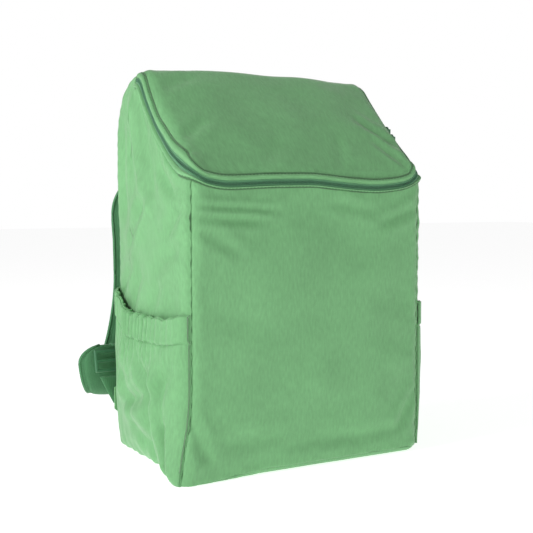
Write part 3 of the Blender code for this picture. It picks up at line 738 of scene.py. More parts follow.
FRONT_FOLDS = (
    ((-0.146, 0.284), (-0.045, 0.279), 0.0032, 0.0022),
    ((-0.146, 0.272), (-0.060, 0.268), 0.0042, 0.0022),
    ((-0.140, 0.262), (-0.090, 0.235), 0.0060, 0.0016),
    ((0.142, 0.282), (0.085, 0.262), 0.0055, 0.0020),
    ((0.020, 0.288), (0.085, 0.277), 0.0055, 0.0014),
    ((-0.120, 0.042), (0.050, 0.036), 0.0080, 0.0016),
    ((-0.050, 0.026), (0.120, 0.030), 0.0065, 0.0018),
    ((-0.146, 0.070), (-0.115, 0.020), 0.0060, 0.0024),
    ((0.142, 0.075), (0.112, 0.026), 0.0060, 0.0022),
    ((0.060, 0.150), (0.140, 0.120), 0.0120, 0.0010),
    ((-0.130, 0.180), (-0.040, 0.150), 0.0140, 0.0010),
)


def outline_run(start, end, step=0.003, crowd=True):
    """Points of the closed outline between two of its stations, resampled evenly."""
    count = max(4, int(abs(end - start) / step))
    places = spaced(start, end, count, 0.6) if crowd else np.linspace(start, end, count)
    points = along_path(places, LOOP_LENGTHS, LOOP)
    ahead = along_path(places + 1e-4, LOOP_LENGTHS, LOOP)
    return places, points, unit(ahead - points)


def station(test):
    """The first place along the outline where test(y, z) is true."""
    places = np.arange(0, LOOP_LENGTHS[-1], 0.0005)
    y, z = along_path(places, LOOP_LENGTHS, LOOP).T
    return places[np.nonzero(test(y, z))[0][0]]


def outline_out(run):
    """Outward direction beside the outline's direction of travel."""
    return np.column_stack([-run[:, 1], run[:, 0]])


WALL_COLUMNS = 110
# How deep and how near the edge the cloth is drawn in by a side seam
SEAM_PULL = 0.0016


def make_band_wall(name, start, end, bulge, wrinkle, folds, seed, top_follows=False):
    """A wall that follows the outline between the two side seams."""
    places, points, run = outline_run(start, end)
    out = outline_out(run)
    across = spaced(-1, 1, WALL_COLUMNS, 0.7)
    y0, z0 = points[:, :1], points[:, 1:]
    radius = wall_edge(np.broadcast_to(y0, (len(places), 1)), z0)
    half = SIDE - radius * SEAM_SHARE
    x = half * across[None]
    z = np.broadcast_to(z0, x.shape).copy()
    if top_follows:
        mouth = mouth_points(BODY_LOW)
        order = mouth[:, 0].argsort(kind="stable")
        line = np.interp(x[-1], mouth[order, 0], mouth[order, 2])
        lift = smooth_step(z, 0.20, z0.max())
        z = z + (line[None] - z0.max()) * lift
    y = np.broadcast_to(y0, x.shape)
    fall = roll(SIDE - np.abs(x), radius)
    edge = half - np.abs(x)
    ends = np.minimum(places - places[0], places[-1] - places)[:, None]
    near = np.minimum(edge, ends)
    away = -fall + bulge * smooth_step(near, 0, 0.09)
    away = away - SEAM_PULL * np.exp(-(edge / SEAM_PULL) ** 2)
    along = places[:, None]
    away = away + wrinkle * smooth_step(near, 0, 0.02) * soft_noise(x, along, 0.07, seed)
    small = soft_noise(x, along, 0.024, seed + 1) * np.exp(-near / 0.03)
    away = away + 0.5 * wrinkle * small
    away = away + pucker(np.broadcast_to(along, x.shape), edge, 0.014, 0.006, 0.0007, seed)
    for begin, finish, width, depth in folds:
        away = away + fold(x, z, begin, finish, width, depth)
    y = y + out[:, :1] * away
    z = z + out[:, 1:] * away
    points = slump(np.stack([x, y, z], axis=2))
    return add_thickness(sheet_mesh(name, points, "Outer fabric"))


def make_side_seam(side, sign):
    """The turned-in seam allowance between a side wall and the walls round it, drawn dark with
    painted seam shade.
    """
    start = station(lambda y, z: (z > TOP - 0.004) & (y > HINGE_Y - 0.0005))
    end = OUTLINE_LENGTH + station(lambda y, z: (z > 0.306) & (y < -0.05))
    places, points, run = outline_run(start, end, 0.003, crowd=False)
    out = outline_out(run)
    radius = wall_edge(points[:, 0], points[:, 1])
    inset = radius * SEAM_SHARE + 0.0013
    flat = points - out * inset[:, None]
    path = np.column_stack([sign * (SIDE - inset), flat])
    # The tube is coloured with painted seam shade, not the cloth's own green
    return tube(side + "_seam_allowance", slump(path), 0.0019, "Seam shade", 8, up=(1, 0, 0))


# Reach of the lid's turned-down front, and rows of the mouth left free at the hinge
LID_TURN = 0.016
HINGE_ROWS = 2


def make_lid_fabric(dome, wrinkle):
    """The domed lid, turned down over its two sides and its front."""
    mouth = mouth_points(LID_SEAM)
    rows = SIDE_STEPS + CORNER_STEPS + 1
    left, right = mouth[HINGE_ROWS:rows], mouth[::-1][HINGE_ROWS:rows]
    across = spaced(-1, 1, 120, 0.7)
    middle, half = (left[:, 0] + right[:, 0]) / 2, (right[:, 0] - left[:, 0]) / 2
    x = middle[:, None] + half[:, None] * across[None]
    y = np.broadcast_to(left[:, 1:2], x.shape).copy()
    steep = 1 / math.cos(SLOPE)
    steep = steep + (1 - steep) * smooth_step(y, CROWN_Y - CROWN_EASE, HINGE_Y)
    side_in = np.clip(np.abs(x) - (SIDE - EDGE), 0, None) / EDGE
    front_in = np.clip(FRONT + LID_TURN - y, 0, None) / LID_TURN
    total = np.clip(np.hypot(side_in, front_in), 1e-6, 0.9999)
    depth = (side_in ** 2 * EDGE * steep + front_in ** 2 * 0.010) / total ** 2
    z = roof(y) - depth * (1 - np.sqrt(1 - total ** 2))
    to_left, to_right = x - left[:, :1], right[:, :1] - x
    z = z + (left[:, 2:3] - z[:, :1]) * np.exp(-(to_left / 0.009) ** 2)
    z = z + (right[:, 2:3] - z[:, -1:]) * np.exp(-(to_right / 0.009) ** 2)
    order = mouth[:, 0].argsort(kind="stable")
    rim = np.interp(x[-1], mouth[order, 0], mouth[order, 2])
    to_front = y - y[-1:, :]
    z = z + (rim - z[-1])[None] * np.exp(-(to_front / 0.010) ** 2)
    away = np.clip(np.minimum(np.minimum(to_left, to_right), to_front * 1.2), 0, None)
    smooth = z.copy()
    swell = smooth_step(away, 0.0, 0.070) * (1 - 0.5 * smooth_step(y, 0.0, HINGE_Y))
    z = z + dome * swell + wrinkle * 1.2 * smooth_step(away, 0, 0.02) * soft_noise(x, y, 0.075, 51)
    z = z + 0.5 * wrinkle * soft_noise(x, y, 0.026, 52) * np.exp(-away / 0.03)
    along = np.where(to_front < 0.01, x, y)
    z = z + pucker(along, away, 0.012, 0.007, 0.0006, 53) * smooth_step(away, 0, 0.002)
    for start, end, width, size in LID_FOLDS:
        z = z + fold(x, y, start, end, width, size)
    z = np.maximum(z, smooth - 0.0009)
    z = keep_above("lid_foam", x, y, z, 0.0019)
    return sheet_mesh("lid_fabric", np.stack([x, y, z], axis=2)[::-1], "Outer fabric")


def keep_above(node, x, y, z, gap):
    """Lift points that come closer than gap to the top of a frame piece."""
    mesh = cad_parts[node].data
    corners = [vert.co[:] for vert in mesh.vertices]
    tree = BVHTree.FromPolygons(corners, [face.vertices[:] for face in mesh.polygons])
    lifted = z.copy()
    for place in np.ndindex(z.shape):
        hit = tree.ray_cast(Vector((x[place], y[place], TOP + 0.1)), Vector((0, 0, -1)))[0]
        if hit is not None and hit.z > LID_FRONT - 0.012:
            lifted[place] = max(z[place], hit.z + gap)
    return lifted


LID_FOLDS = (
    ((0.142, -0.062), (0.095, -0.030), 0.0055, 0.0026),
    ((0.135, -0.084), (0.100, -0.055), 0.0045, 0.0023),
    ((-0.140, -0.060), (-0.100, -0.040), 0.0050, 0.0018),
    ((-0.060, -0.086), (-0.020, -0.062), 0.0060, 0.0013),
    ((0.040, -0.088), (0.060, -0.055), 0.0060, 0.0013),
    ((-0.135, 0.000), (-0.090, 0.012), 0.0060, 0.0016),
)


def half_round(low, high, height, steps=9, back=0.0022, power=0.7):
    """A strip's section between two depths: a rounded face and a flat back."""
    share = np.linspace(0, 1, steps)
    face = [(low + (high - low) * s, height * math.sin(math.pi * s) ** power) for s in share]
    return face + [(high, -back), ((low + high) / 2, -back), (low, -back)]


def make_body_border():
    return mouth_band("mouth_border", half_round(BODY_HIGH + 0.0004, BODY_LOW - 0.0006, 0.0032),
                      "Outer fabric")


def make_mouth_seams():
    """Turned-in allowances below the body border and above the lid border, drawn dark with painted
    seam shade.
    """
    low = tube("mouth_seam_shade", mouth_points(BODY_LOW, -0.0002), 0.0010, "Seam shade", 6)
    high = tube("lid_seam_shade", mouth_points(LID_SEAM + 0.0003, 0.0001), 0.0009, "Seam shade", 6)
    return low, high


def make_lid_border():
    section = half_round(LID_SEAM + 0.0008, BORDER_LOW, 0.0026)
    return mouth_band("lid_border_fabric", section, "Outer fabric")


def make_tape(name, low, high):
    section = [(low, 0.0002), ((low + high) / 2, 0.0004), (high, 0.0002), (high, -0.0016),
               (low, -0.0016)]
    return mouth_band(name, section, "Zip tape")


def curve_through(name, parts):
    """Straight-run curves through each part's points: the paths of rows of small pieces."""
    curve = bpy.data.curves.new(name, "CURVE")
    curve.dimensions = "3D"
    for part in parts:
        spline = curve.splines.new("POLY")
        spline.points.add(len(part) - 1)
        spline.points.foreach_set("co", np.column_stack([part, np.ones(len(part))]).ravel())
    return placed(name, curve)


def tree_input(tree, name, kind, default=None):
    socket = tree.interface.new_socket(name=name, in_out="INPUT", socket_type=kind)
    if default is not None:
        socket.default_value = default


def row_tree(name, turned):
    """Geometry nodes that lay small rounded bars along a path at an even pitch."""
    tree = bpy.data.node_groups.new(name, "GeometryNodeTree")
    tree.interface.new_socket(name="Geometry", in_out="OUTPUT", socket_type="NodeSocketGeometry")
    tree_input(tree, "Geometry", "NodeSocketGeometry")
    for label in ("Pitch", "Length", "Thickness"):
        tree_input(tree, label, "NodeSocketFloat", 0.002)
    tree_input(tree, "Variation", "NodeSocketFloat", 0.1)
    tree_input(tree, "Seed", "NodeSocketInt", 7)
    tree_input(tree, "Material", "NodeSocketMaterial")
    add, join = tree.nodes.new, tree.links.new
    source, sink = add("NodeGroupInput"), add("NodeGroupOutput")
    spaced_points = add("GeometryNodeCurveToPoints")
    spaced_points.mode = "LENGTH"
    join(source.outputs["Geometry"], spaced_points.inputs["Curve"])
    join(source.outputs["Pitch"], spaced_points.inputs["Length"])
    bar = add("GeometryNodeMeshUVSphere")
    bar.inputs["Segments"].default_value = 6
    bar.inputs["Rings"].default_value = 5
    bar.inputs["Radius"].default_value = 0.5
    shape = add("ShaderNodeCombineXYZ")
    join(source.outputs["Thickness"], shape.inputs["X"])
    join(source.outputs["Thickness"], shape.inputs["Y"])
    join(source.outputs["Length"], shape.inputs["Z"])
    sizing = add("GeometryNodeTransform")
    join(bar.outputs["Mesh"], sizing.inputs["Geometry"])
    join(shape.outputs["Vector"], sizing.inputs["Scale"])
    if turned:
        sizing.inputs["Rotation"].default_value = (math.pi / 2, 0.0, 0.0)
    chance = add("FunctionNodeRandomValue")
    chance.data_type = "FLOAT"
    low = add("ShaderNodeMath")
    low.operation = "SUBTRACT"
    low.inputs[0].default_value = 1.0
    join(source.outputs["Variation"], low.inputs[1])
    join(low.outputs[0], chance.inputs[2])
    chance.inputs[3].default_value = 1.0
    join(source.outputs["Seed"], chance.inputs["Seed"])
    place = add("GeometryNodeInstanceOnPoints")
    join(spaced_points.outputs["Points"], place.inputs["Points"])
    join(sizing.outputs["Geometry"], place.inputs["Instance"])
    join(spaced_points.outputs["Rotation"], place.inputs["Rotation"])
    join(chance.outputs[1], place.inputs["Scale"])
    real, paint = add("GeometryNodeRealizeInstances"), add("GeometryNodeSetMaterial")
    join(place.outputs["Instances"], real.inputs["Geometry"])
    join(real.outputs["Geometry"], paint.inputs["Geometry"])
    join(source.outputs["Material"], paint.inputs["Material"])
    join(paint.outputs["Geometry"], sink.inputs["Geometry"])
    return tree


def lay_row(name, tree, parts, look, **values):
    """A plain mesh of small bars along the paths in parts."""
    path = curve_through(name + "_path", parts)
    rows = path.modifiers.new("Row", "NODES")
    rows.node_group = tree
    for item in tree.interface.items_tree:
        if item.in_out == "INPUT" and item.name in values:
            rows[item.identifier] = values[item.name]
        if item.in_out == "INPUT" and item.name == "Material":
            rows[item.identifier] = material(look)
    graph = bpy.context.evaluated_depsgraph_get()
    mesh = bpy.data.meshes.new_from_object(path.evaluated_get(graph))
    mesh.name = name
    bpy.data.objects.remove(path)
    obj = placed(name, mesh)
    if not mesh.materials:
        mesh.materials.append(material(look))
    shade_smooth(mesh)
    return obj


def stitch_rows(name, parts, look="Thread"):
    tree = bpy.data.node_groups.get("Stitch row") or row_tree("Stitch row", False)
    own = sizes()
    return lay_row(name, tree, parts, look, Pitch=own.stitch_pitch, Length=own.stitch_length,
                   Thickness=own.stitch_thread, Variation=0.12, Seed=5)


def coil_rows(name, parts):
    tree = bpy.data.node_groups.get("Zip coil") or row_tree("Zip coil", True)
    own = sizes()
    return lay_row(name, tree, parts, "Zip coil", Pitch=own.coil_pitch, Length=own.coil_width * 1.5,
                   Thickness=own.coil_pitch * 0.78, Variation=0.02, Seed=3)


# Pockets


def pocket_top(y):
    """Height of the pocket's gathered opening: higher at the back, slack in the middle."""
    front_lift = 0.006 * np.exp(-((y + 0.090) / 0.018) ** 2)
    return 0.167 + front_lift + 0.022 * smooth_step(y, 0.02, 0.088)


# The pocket's lower edge, and how many points lie across it
POCKET_BOTTOM = 0.0075
POCKET_COLUMNS = 150


def pocket_points(sign, bulge, low_share, high_share, rows, proud=0.0):
    """Rows of points of the pocket between two shares of its height."""
    inset = EDGE * SEAM_SHARE
    y = spaced(FRONT + inset - 0.0008, BACK - inset + 0.0008, POCKET_COLUMNS, 0.5)[None]
    share = np.linspace(low_share, high_share, rows)[:, None]
    z = POCKET_BOTTOM + (pocket_top(y) - POCKET_BOTTOM) * share
    y = np.broadcast_to(y, z.shape).copy()
    wall = SIDE - roll(np.clip(edge_distance(y, z), inset, 1), EDGE)
    across = (y - FRONT - inset) / (BACK - FRONT - 2 * inset)
    arch = np.clip(np.sin(math.pi * np.clip(across, 0, 1)), 0, 1) ** 0.55
    rise = np.interp(share, (0, 0.12, 0.35, 0.70, 0.86, 1.0), (0.05, 0.50, 0.92, 1.0, 0.84, 0.80))
    off = bulge * arch * rise
    gather = smooth_step(share, 0.60, 0.90)
    drift = soft_noise(y, y * 0 + 0.1 * sign, 0.05, 61 + sign) * 1.6
    back = 0.45 + 0.75 * smooth_step(y, -0.050, -0.010)
    ripple = back * np.sin(2 * math.pi * y / 0.0088 + drift + 0.8 * np.sin(share * 5))
    strength = 0.55 + 0.45 * soft_noise(y, y * 0, 0.035, 63 + sign)
    off = off + 0.0030 * gather * strength * ripple * arch
    off = off + 0.0014 * soft_noise(y, z, 0.060, 65 + sign) * arch
    for start, end, width, depth in POCKET_FOLDS:
        off = off + fold(y, z, start, end, width, depth) * arch
    off = off + pucker(y, np.broadcast_to(share, y.shape) * 0.16, 0.021, 0.020, 0.0012, 67) * arch
    hem = smooth_step(share, 0.832, 0.845) * 0.0012
    hem = hem - 0.0020 * np.exp(-((share - 0.836) / 0.008) ** 2)
    x = wall + 0.0012 + off + hem + proud
    z = z + 0.0016 * gather * np.sin(2 * math.pi * y / 0.0176 + drift) * arch * share ** 8
    return slump(np.stack([sign * x, y, z], axis=2))


POCKET_FOLDS = (
    ((-0.044, 0.125), (-0.042, 0.012), 0.0065, -0.0046),
    ((-0.058, 0.060), (-0.068, 0.006), 0.0055, 0.0080),
    ((-0.078, 0.128), (-0.046, 0.078), 0.0075, 0.0034),
    ((0.000, 0.128), (-0.042, 0.080), 0.0080, 0.0040),
    ((0.060, 0.060), (-0.034, 0.088), 0.0080, 0.0034),
    ((0.055, 0.110), (0.010, 0.060), 0.0090, 0.0034),
    ((0.030, 0.135), (0.034, 0.100), 0.0070, 0.0036),
    ((0.072, 0.120), (0.066, 0.060), 0.0080, 0.0034),
    ((0.020, 0.050), (-0.030, 0.024), 0.0090, 0.0030),
)


def make_pocket(side, sign, bulge):
    points = pocket_points(sign, bulge, 0.0, 1.0, 120)
    cloth = sheet_mesh(side + "_pocket_fabric", points, "Outer fabric", flip=sign > 0)
    add_thickness(cloth)
    rim = pocket_points(sign, bulge, 0.995, 1.0, 2)[-1]
    inward = np.array([sign * -0.0012, 0, 0.0])
    piping = tube(side + "_pocket_rim", rim + inward, 0.0014, "Outer fabric", 8)
    line = pocket_points(sign, bulge, 0.815, 0.815, 1, 0.0004)[0]
    second = pocket_points(sign, bulge, 0.862, 0.862, 1, 0.0004)[0]
    stitches = stitch_rows(side + "_pocket_stitches", [line[4:-4], second[4:-4]])
    return cloth, piping, stitches


# Straps, handle and back


def smooth_route(points, count):
    """A smooth path through points, evenly spaced."""
    points = np.asarray(points, float)
    padded = np.vstack([2 * points[0] - points[1], points, 2 * points[-1] - points[-2]])
    dense = []
    for i in range(1, len(padded) - 2):
        a, b, c, d = padded[i - 1:i + 3]
        for t in np.linspace(0, 1, 24, endpoint=False):
            dense.append(0.5 * (2 * b + (c - a) * t + (2 * a - 5 * b + 4 * c - d) * t ** 2
                                + (3 * b - a - 3 * c + d) * t ** 3))
    dense = np.array(dense + [points[-1]])
    lengths = run_lengths(dense)
    return along_path(np.linspace(0, lengths[-1], count), lengths, dense)


STRAP_ROWS = (
    (0.000, 0.080, 0.0085), (0.040, 0.078, 0.0200), (0.110, 0.064, 0.0400),
    (0.225, 0.049, 0.0510), (0.400, 0.049, 0.0500), (0.580, 0.049, 0.0500),
    (0.740, 0.044, 0.0540), (0.880, 0.035, 0.0580), (0.975, 0.024, 0.0555),
    (1.015, 0.012, 0.0440), (0.975, 0.002, 0.0330), (0.900, -0.004, 0.0280),
    (0.810, -0.006, 0.0260),
)
STRAP_TOP, STRAP_FOLD, STRAP_HALF, STRAP_THICK = 0.3478, 0.065, 0.0325, 0.0055
STRAP_STEPS = 150
# Rows at the strap's lower end that narrow to a rounded tip
STRAP_TIP = 8


def strap_frame(sign):
    points = [(sign * (SIDE - inside), BACK + behind, STRAP_TOP - (STRAP_TOP - STRAP_FOLD) * share)
              for share, inside, behind in STRAP_ROWS]
    path = smooth_route(points, STRAP_STEPS)
    tangent = unit(np.gradient(path, axis=0))
    return path, unit(np.cross(np.array([1.0, 0, 0]), tangent))


def strap_section(full):
    """Height of the strap's face from one edge to the other: thin bound edges, padded middle."""
    s = np.linspace(-1, 1, 33)
    soft = np.clip(1 - (np.abs(s) / 0.86) ** 2.6, 0, 1) ** 0.55
    bound = 0.30 * np.sqrt(np.clip(1 - np.abs(s) ** 14, 0, 1))
    return s, np.maximum(bound, 0.30 + (full - 0.30) * soft)


def make_strap(side, sign, fill):
    path, over = strap_frame(sign)
    s, height = strap_section(0.85 + 0.25 * fill)
    height[0] = height[-1] = 0.0
    step = np.arange(STRAP_STEPS)
    ends = np.minimum(step, step[::-1]) / 6.0
    taper = 0.45 + 0.55 * smooth_step(ends, 0, 1)
    run = step * 0.0035
    ripple = 1 + 0.05 * soft_noise(run[:, None], s[None] * 0.03, 0.05, 71 + sign)
    face = (height[None] * taper[:, None] * ripple * STRAP_THICK)[..., None]
    straight = STRAP_STEPS - STRAP_TIP
    tail = np.clip((step - straight + 1) / STRAP_TIP, 0, 0.98)
    narrow = np.sqrt(1 - tail ** 2)
    line = path[:, None] + np.array([STRAP_HALF, 0, 0]) * (s[None] * narrow[:, None])[..., None]
    rings = np.concatenate([line + over[:, None] * face,
                            (line - over[:, None] * face)[:, -2:0:-1]], axis=1)
    strap = sheet_mesh(side + "_strap_padding", rings, "Strap fabric", around=True, ends=True)
    rows = []
    for place in (2, 30):
        for face_side in (1, -1):
            lift = over * (0.31 * STRAP_THICK + 0.0001) * face_side
            rows.append((path + np.array([STRAP_HALF * s[place], 0, 0]) + lift)[:straight])
    stitches = stitch_rows(side + "_strap_stitches", [row[3:-3] for row in rows], "Strap thread")
    beads = []
    for edge in (-1, 1):
        shift = np.array([STRAP_HALF * 0.985 * edge, 0, 0]) * narrow[:, None]
        beads.append(tube(side + ("_strap_outer" if edge == sign else "_strap_inner") + "_binding",
                          path + shift, 0.0019, "Strap webbing", 8))
    return strap, stitches, beads


# The grab handle: its hinge line, how far it leans off the back, half its span and its reach
HANDLE_PIVOT = (0, 0.085917, 0.408553)
HANDLE_LEAN = math.radians(35)
HANDLE_HALF, HANDLE_REACH, HANDLE_CORNER = 0.050, 0.042, 0.018
# Half the width and half the thickness of its webbing
HANDLE_SECTION = (0.0052, 0.0030)


def make_handle():
    """A loop of flattened webbing with rounded corners, hanging against the back."""
    hang = np.array([0, math.sin(HANDLE_LEAN), -math.cos(HANDLE_LEAN)])
    pivot = np.array(HANDLE_PIVOT)
    corner = HANDLE_CORNER
    points = [(-HANDLE_HALF, d) for d in (0.0, 0.010, HANDLE_REACH - corner)]
    for turn in (30, 60, 90):
        angle = math.radians(turn)
        points.append((-HANDLE_HALF + corner * (1 - math.cos(angle)),
                       HANDLE_REACH - corner * (1 - math.sin(angle))))
    points = points + [(-0.015, 0.0425), (0.0, 0.0430)]
    points = points + [(-x, d) for x, d in points[-2::-1]]
    path = smooth_route([pivot + np.array([x, 0, 0]) + hang * d for x, d in points], 90)
    tangent = unit(np.gradient(path, axis=0))
    front = np.cross(np.array([1.0, 0, 0]), hang)
    side = np.cross(tangent, front)
    turn = np.linspace(0, 2 * math.pi, 20, endpoint=False)
    wide = np.sign(np.cos(turn)) * np.abs(np.cos(turn)) ** 0.6
    high = np.sign(np.sin(turn)) * np.abs(np.sin(turn)) ** 0.7
    half_width, half_thick = HANDLE_SECTION
    rings = (path[:, None] + side[:, None] * wide[None, :, None] * half_width
             + front[None, None] * high[None, :, None] * half_thick)
    handle = sheet_mesh("grab_handle_webbing", rings, "Strap webbing", around=True, ends=True)
    rows = [path + side * 0.0034 * k + front * 0.0029 * f for k in (-1, 1) for f in (-1, 1)]
    return handle, stitch_rows("grab_handle_stitches", [row[5:-5] for row in rows], "Strap thread")


def even_cloth(obj):
    """Rebuild a closed mesh with faces of one size."""
    remesh = obj.modifiers.new("Even cloth", "REMESH")
    remesh.mode = "VOXEL"
    remesh.voxel_size = 0.0045
    apply_modifiers(obj)


SWELL_FRAMES = 20


def swell_cloth(obj, cap):
    """Fill a closed mesh like a cushion and keep how far it may swell under cap."""
    start = np.array([v.co[:] for v in obj.data.vertices])
    cloth = obj.modifiers.new("Filling", "CLOTH")
    cloth.settings.use_pressure = True
    cloth.settings.uniform_pressure_force = 4.0
    cloth.settings.effector_weights.gravity = 0.0
    cloth.settings.quality = 5
    scene = bpy.context.scene
    for step in range(1, SWELL_FRAMES + 1):
        scene.frame_set(step)
    graph = bpy.context.evaluated_depsgraph_get()
    swollen = bpy.data.meshes.new_from_object(obj.evaluated_get(graph))
    end = np.array([v.co[:] for v in swollen.vertices])
    move = end - start
    length = np.maximum(np.linalg.norm(move, axis=1), 1e-9)[:, None]
    end = start + move / length * np.minimum(length, cap)
    obj.modifiers.clear()
    obj.data.vertices.foreach_set("co", end.ravel())
    obj.data.update()
    scene.frame_set(1)
    bpy.data.meshes.remove(swollen)
    return obj


PAD_BOTTOM, PAD_TOP, PAD_HALF, PAD_THICK = 0.050, 0.305, 0.100, 0.010
PAD_CHANNELS = (0.112, 0.176, 0.240)


def make_back_pad():
    """A stuffed pad with sewn channels on the wearer's side."""
    turn = np.linspace(0, 2 * math.pi, 96, endpoint=False)
    wide = np.sign(np.cos(turn)) * np.abs(np.cos(turn)) ** 0.35 * (PAD_HALF - 0.004)
    tall = np.sign(np.sin(turn)) * np.abs(np.sin(turn)) ** 0.35 * (PAD_TOP - PAD_BOTTOM) / 2 * 0.97
    middle = (PAD_BOTTOM + PAD_TOP) / 2
    rings = []
    for scale, y in ((0.0, 0.0), (0.5, 0.0), (0.9, 0.0), (1.0, 0.0015), (1.0, 0.0045),
                     (0.93, 0.0070), (0.5, 0.0075), (0.0, 0.0075)):
        rings.append(np.column_stack([wide * scale, np.full(96, BACK + 0.0008 + y),
                                      middle + tall * scale]))
    pad = sheet_mesh("back_pad_fabric", np.array(rings), "Strap fabric", around=True, flip=True)
    mesh = bmesh.new()
    mesh.from_mesh(pad.data)
    bmesh.ops.remove_doubles(mesh, verts=mesh.verts, dist=1e-5)
    bmesh.ops.recalc_face_normals(mesh, faces=mesh.faces)
    mesh.to_mesh(pad.data)
    mesh.free()
    even_cloth(pad)
    swell_cloth(pad, 0.006)
    shape_pad(pad)
    smooth = pad.modifiers.new("Smooth", "SUBSURF")
    smooth.levels = smooth.render_levels = 1
    apply_modifiers(pad)
    box_cut_map(pad.data)
    pad.data.materials.clear()
    pad.data.materials.append(material("Pad mesh"))
    shade_smooth(pad.data)
    rows = [np.column_stack([np.linspace(-0.090, 0.090, 40), np.full(40, BACK + 0.0066),
                             np.full(40, z)]) for z in PAD_CHANNELS]
    return pad, stitch_rows("back_pad_stitches", rows, "Strap thread")


def shape_pad(pad):
    """Press the pad against the bag's back and sink its sewn channels."""
    points = np.array([v.co[:] for v in pad.data.vertices])
    off = np.clip(points[:, 1] - BACK, 0.0004, PAD_THICK + 0.003)
    lift = smooth_step(off, 0.003, 0.007)
    for z in PAD_CHANNELS:
        off = off - lift * 0.0055 * np.exp(-((points[:, 2] - z) / 0.0050) ** 2)
    points[:, 1] = BACK + off
    pad.data.vertices.foreach_set("co", points.ravel())
    pad.data.update()


def box_cut_map(mesh):
    """A cut map in metres, projected along each face's main direction."""
    layer = mesh.uv_layers.get("cut") or mesh.uv_layers.new(name="cut")
    spots = np.array([v.co[:] for v in mesh.vertices])
    for polygon in mesh.polygons:
        axis = int(np.argmax(np.abs(polygon.normal)))
        pair = {0: (1, 2), 1: (0, 2), 2: (0, 1)}[axis]
        for loop in polygon.loop_indices:
            spot = spots[mesh.loops[loop].vertex_index]
            layer.data[loop].uv = (spot[pair[0]], spot[pair[1]])


def refined_copy(node, name, look, bevel=0.0005, cuts=0):
    """A copy of a frame piece with merged points and softened edges."""
    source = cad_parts[node]
    mesh = bmesh.new()
    mesh.from_mesh(source.data)
    bmesh.ops.remove_doubles(mesh, verts=mesh.verts, dist=1e-6)
    flat = math.radians(2)
    bmesh.ops.dissolve_limit(mesh, angle_limit=flat, verts=mesh.verts, edges=mesh.edges)
    if cuts:
        bmesh.ops.triangulate(mesh, faces=mesh.faces)
        bmesh.ops.subdivide_edges(mesh, edges=mesh.edges, cuts=cuts, use_grid_fill=True)
    data = bpy.data.meshes.new(name)
    mesh.to_mesh(data)
    mesh.free()
    obj = placed(name, data)
    if bevel:
        rounded = obj.modifiers.new("Softened edges", "BEVEL")
        rounded.width = bevel
        rounded.segments = 3
        rounded.limit_method = "ANGLE"
        rounded.angle_limit = math.radians(30)
        rounded.use_clamp_overlap = True
        apply_modifiers(obj)
    obj.data.materials.clear()
    obj.data.materials.append(material(look))
    box_cut_map(obj.data)
    shade_smooth(obj.data)
    obj.data.set_sharp_from_angle(angle=math.radians(40))
    return obj


# Operators


class BagOperator:
    """What every operator here shares."""
    bl_options = {"REGISTER", "UNDO"}

    def execute(self, context):
        self.build(context.scene.cooler_bag_sizes)
        return {"FINISHED"}


class COOLERBAG_OT_materials(BagOperator, bpy.types.Operator):
    """Make the bag's fabrics, tapes, plastics, foam and liner"""
    bl_idname = "coolerbag.materials"
    bl_label = "Materials"

    def build(self, own):
        tint = colours()
        fabric_material("Outer fabric", tuple(tint.shell), 0.0011, 0.60, 0.40)
        # Strap fabric, pad mesh, webbing and strap thread share the strap green with its painted
        # shade
        fabric_material("Strap fabric", tuple(tint.strap), 0.0009, 0.80, 0.25)
        fabric_material("Pad mesh", tuple(tint.strap), 0.0026, 0.85, 0.20, 0.0010, 0.25)
        ribbed_material("Strap webbing", tuple(tint.strap), 0.0012, 0.72)
        ribbed_material("Zip tape", tuple(tint.tape), 0.0006, 0.78)
        plastic_material("Zip coil", tuple(tint.coil), 0.42)
        plastic_material("Buckle plastic", tuple(tint.buckle), 0.30, coat=0.35)
        plastic_material("Zip metal", tuple(tint.metal), 0.32, 0.55, 0.2)
        # Thread: its own green plus painted shade of the stitch holes
        plastic_material("Thread", tuple(tint.thread), 0.70)
        ribbed_material("Seam shade", tuple(c * 0.45 for c in tint.shell), 0.0010, 0.85)
        plastic_material("Strap thread", tuple(c * 0.9 for c in tint.strap), 0.70)
        foam_material("Foam", tuple(tint.foam))
        liner_material("Liner film", tuple(tint.liner))
        board_material("Base board", tuple(tint.board))
        finish_frame_nodes()


FRAME_FINISHES = (
    (("foam_base", "foam_front", "foam_back", "foam_left", "foam_right", "lid_foam"), "Foam"),
    (("liner_tub", "lid_liner"), "Liner film"),
    (("base_board",), "Base board"),
)


def finish_frame_nodes():
    for nodes, look in FRAME_FINISHES:
        for node in nodes:
            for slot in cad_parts[node].material_slots:
                slot.material = material(look)


class COOLERBAG_OT_walls(BagOperator, bpy.types.Operator):
    """Sew the front, side, back and base walls"""
    bl_idname = "coolerbag.walls"
    bl_label = "Walls"

    def build(self, own):
        front_top = LID_FRONT - FRONT_DROPS[-1]
        bottom = station(lambda y, z: (z > BASE_SEAM) & (y < -0.05))
        top = station(lambda y, z: (z > front_top) & (y < -0.05))
        front = make_band_wall("front_fabric", bottom, top, own.panel_bulge, own.wrinkle,
                               FRONT_FOLDS, 81, top_follows=True)
        over = station(lambda y, z: (z > TOP - 0.004) & (y > HINGE_Y + 0.0030))
        back_low = station(lambda y, z: (y > 0.05) & (z < BASE_SEAM))
        back = make_band_wall("back_fabric", over, back_low, own.panel_bulge * 0.4, own.wrinkle,
                              (), 83)
        base = make_band_wall("base_fabric", back_low, OUTLINE_LENGTH + bottom, 0.0,
                              own.wrinkle * 0.3, (), 85)
        for obj, node in ((front, "front_panel"), (back, "back_panel"), (base, "bottom_panel")):
            dress(obj, "root", (node,))
        for side, sign in (("left", -1), ("right", 1)):
            wall = make_side(side, sign, own.panel_bulge + 0.002 * (sign + 1), own.wrinkle)
            dress(wall, "root", (side + "_side_panel",))
            dress(make_side_seam(side, sign), "root", ())


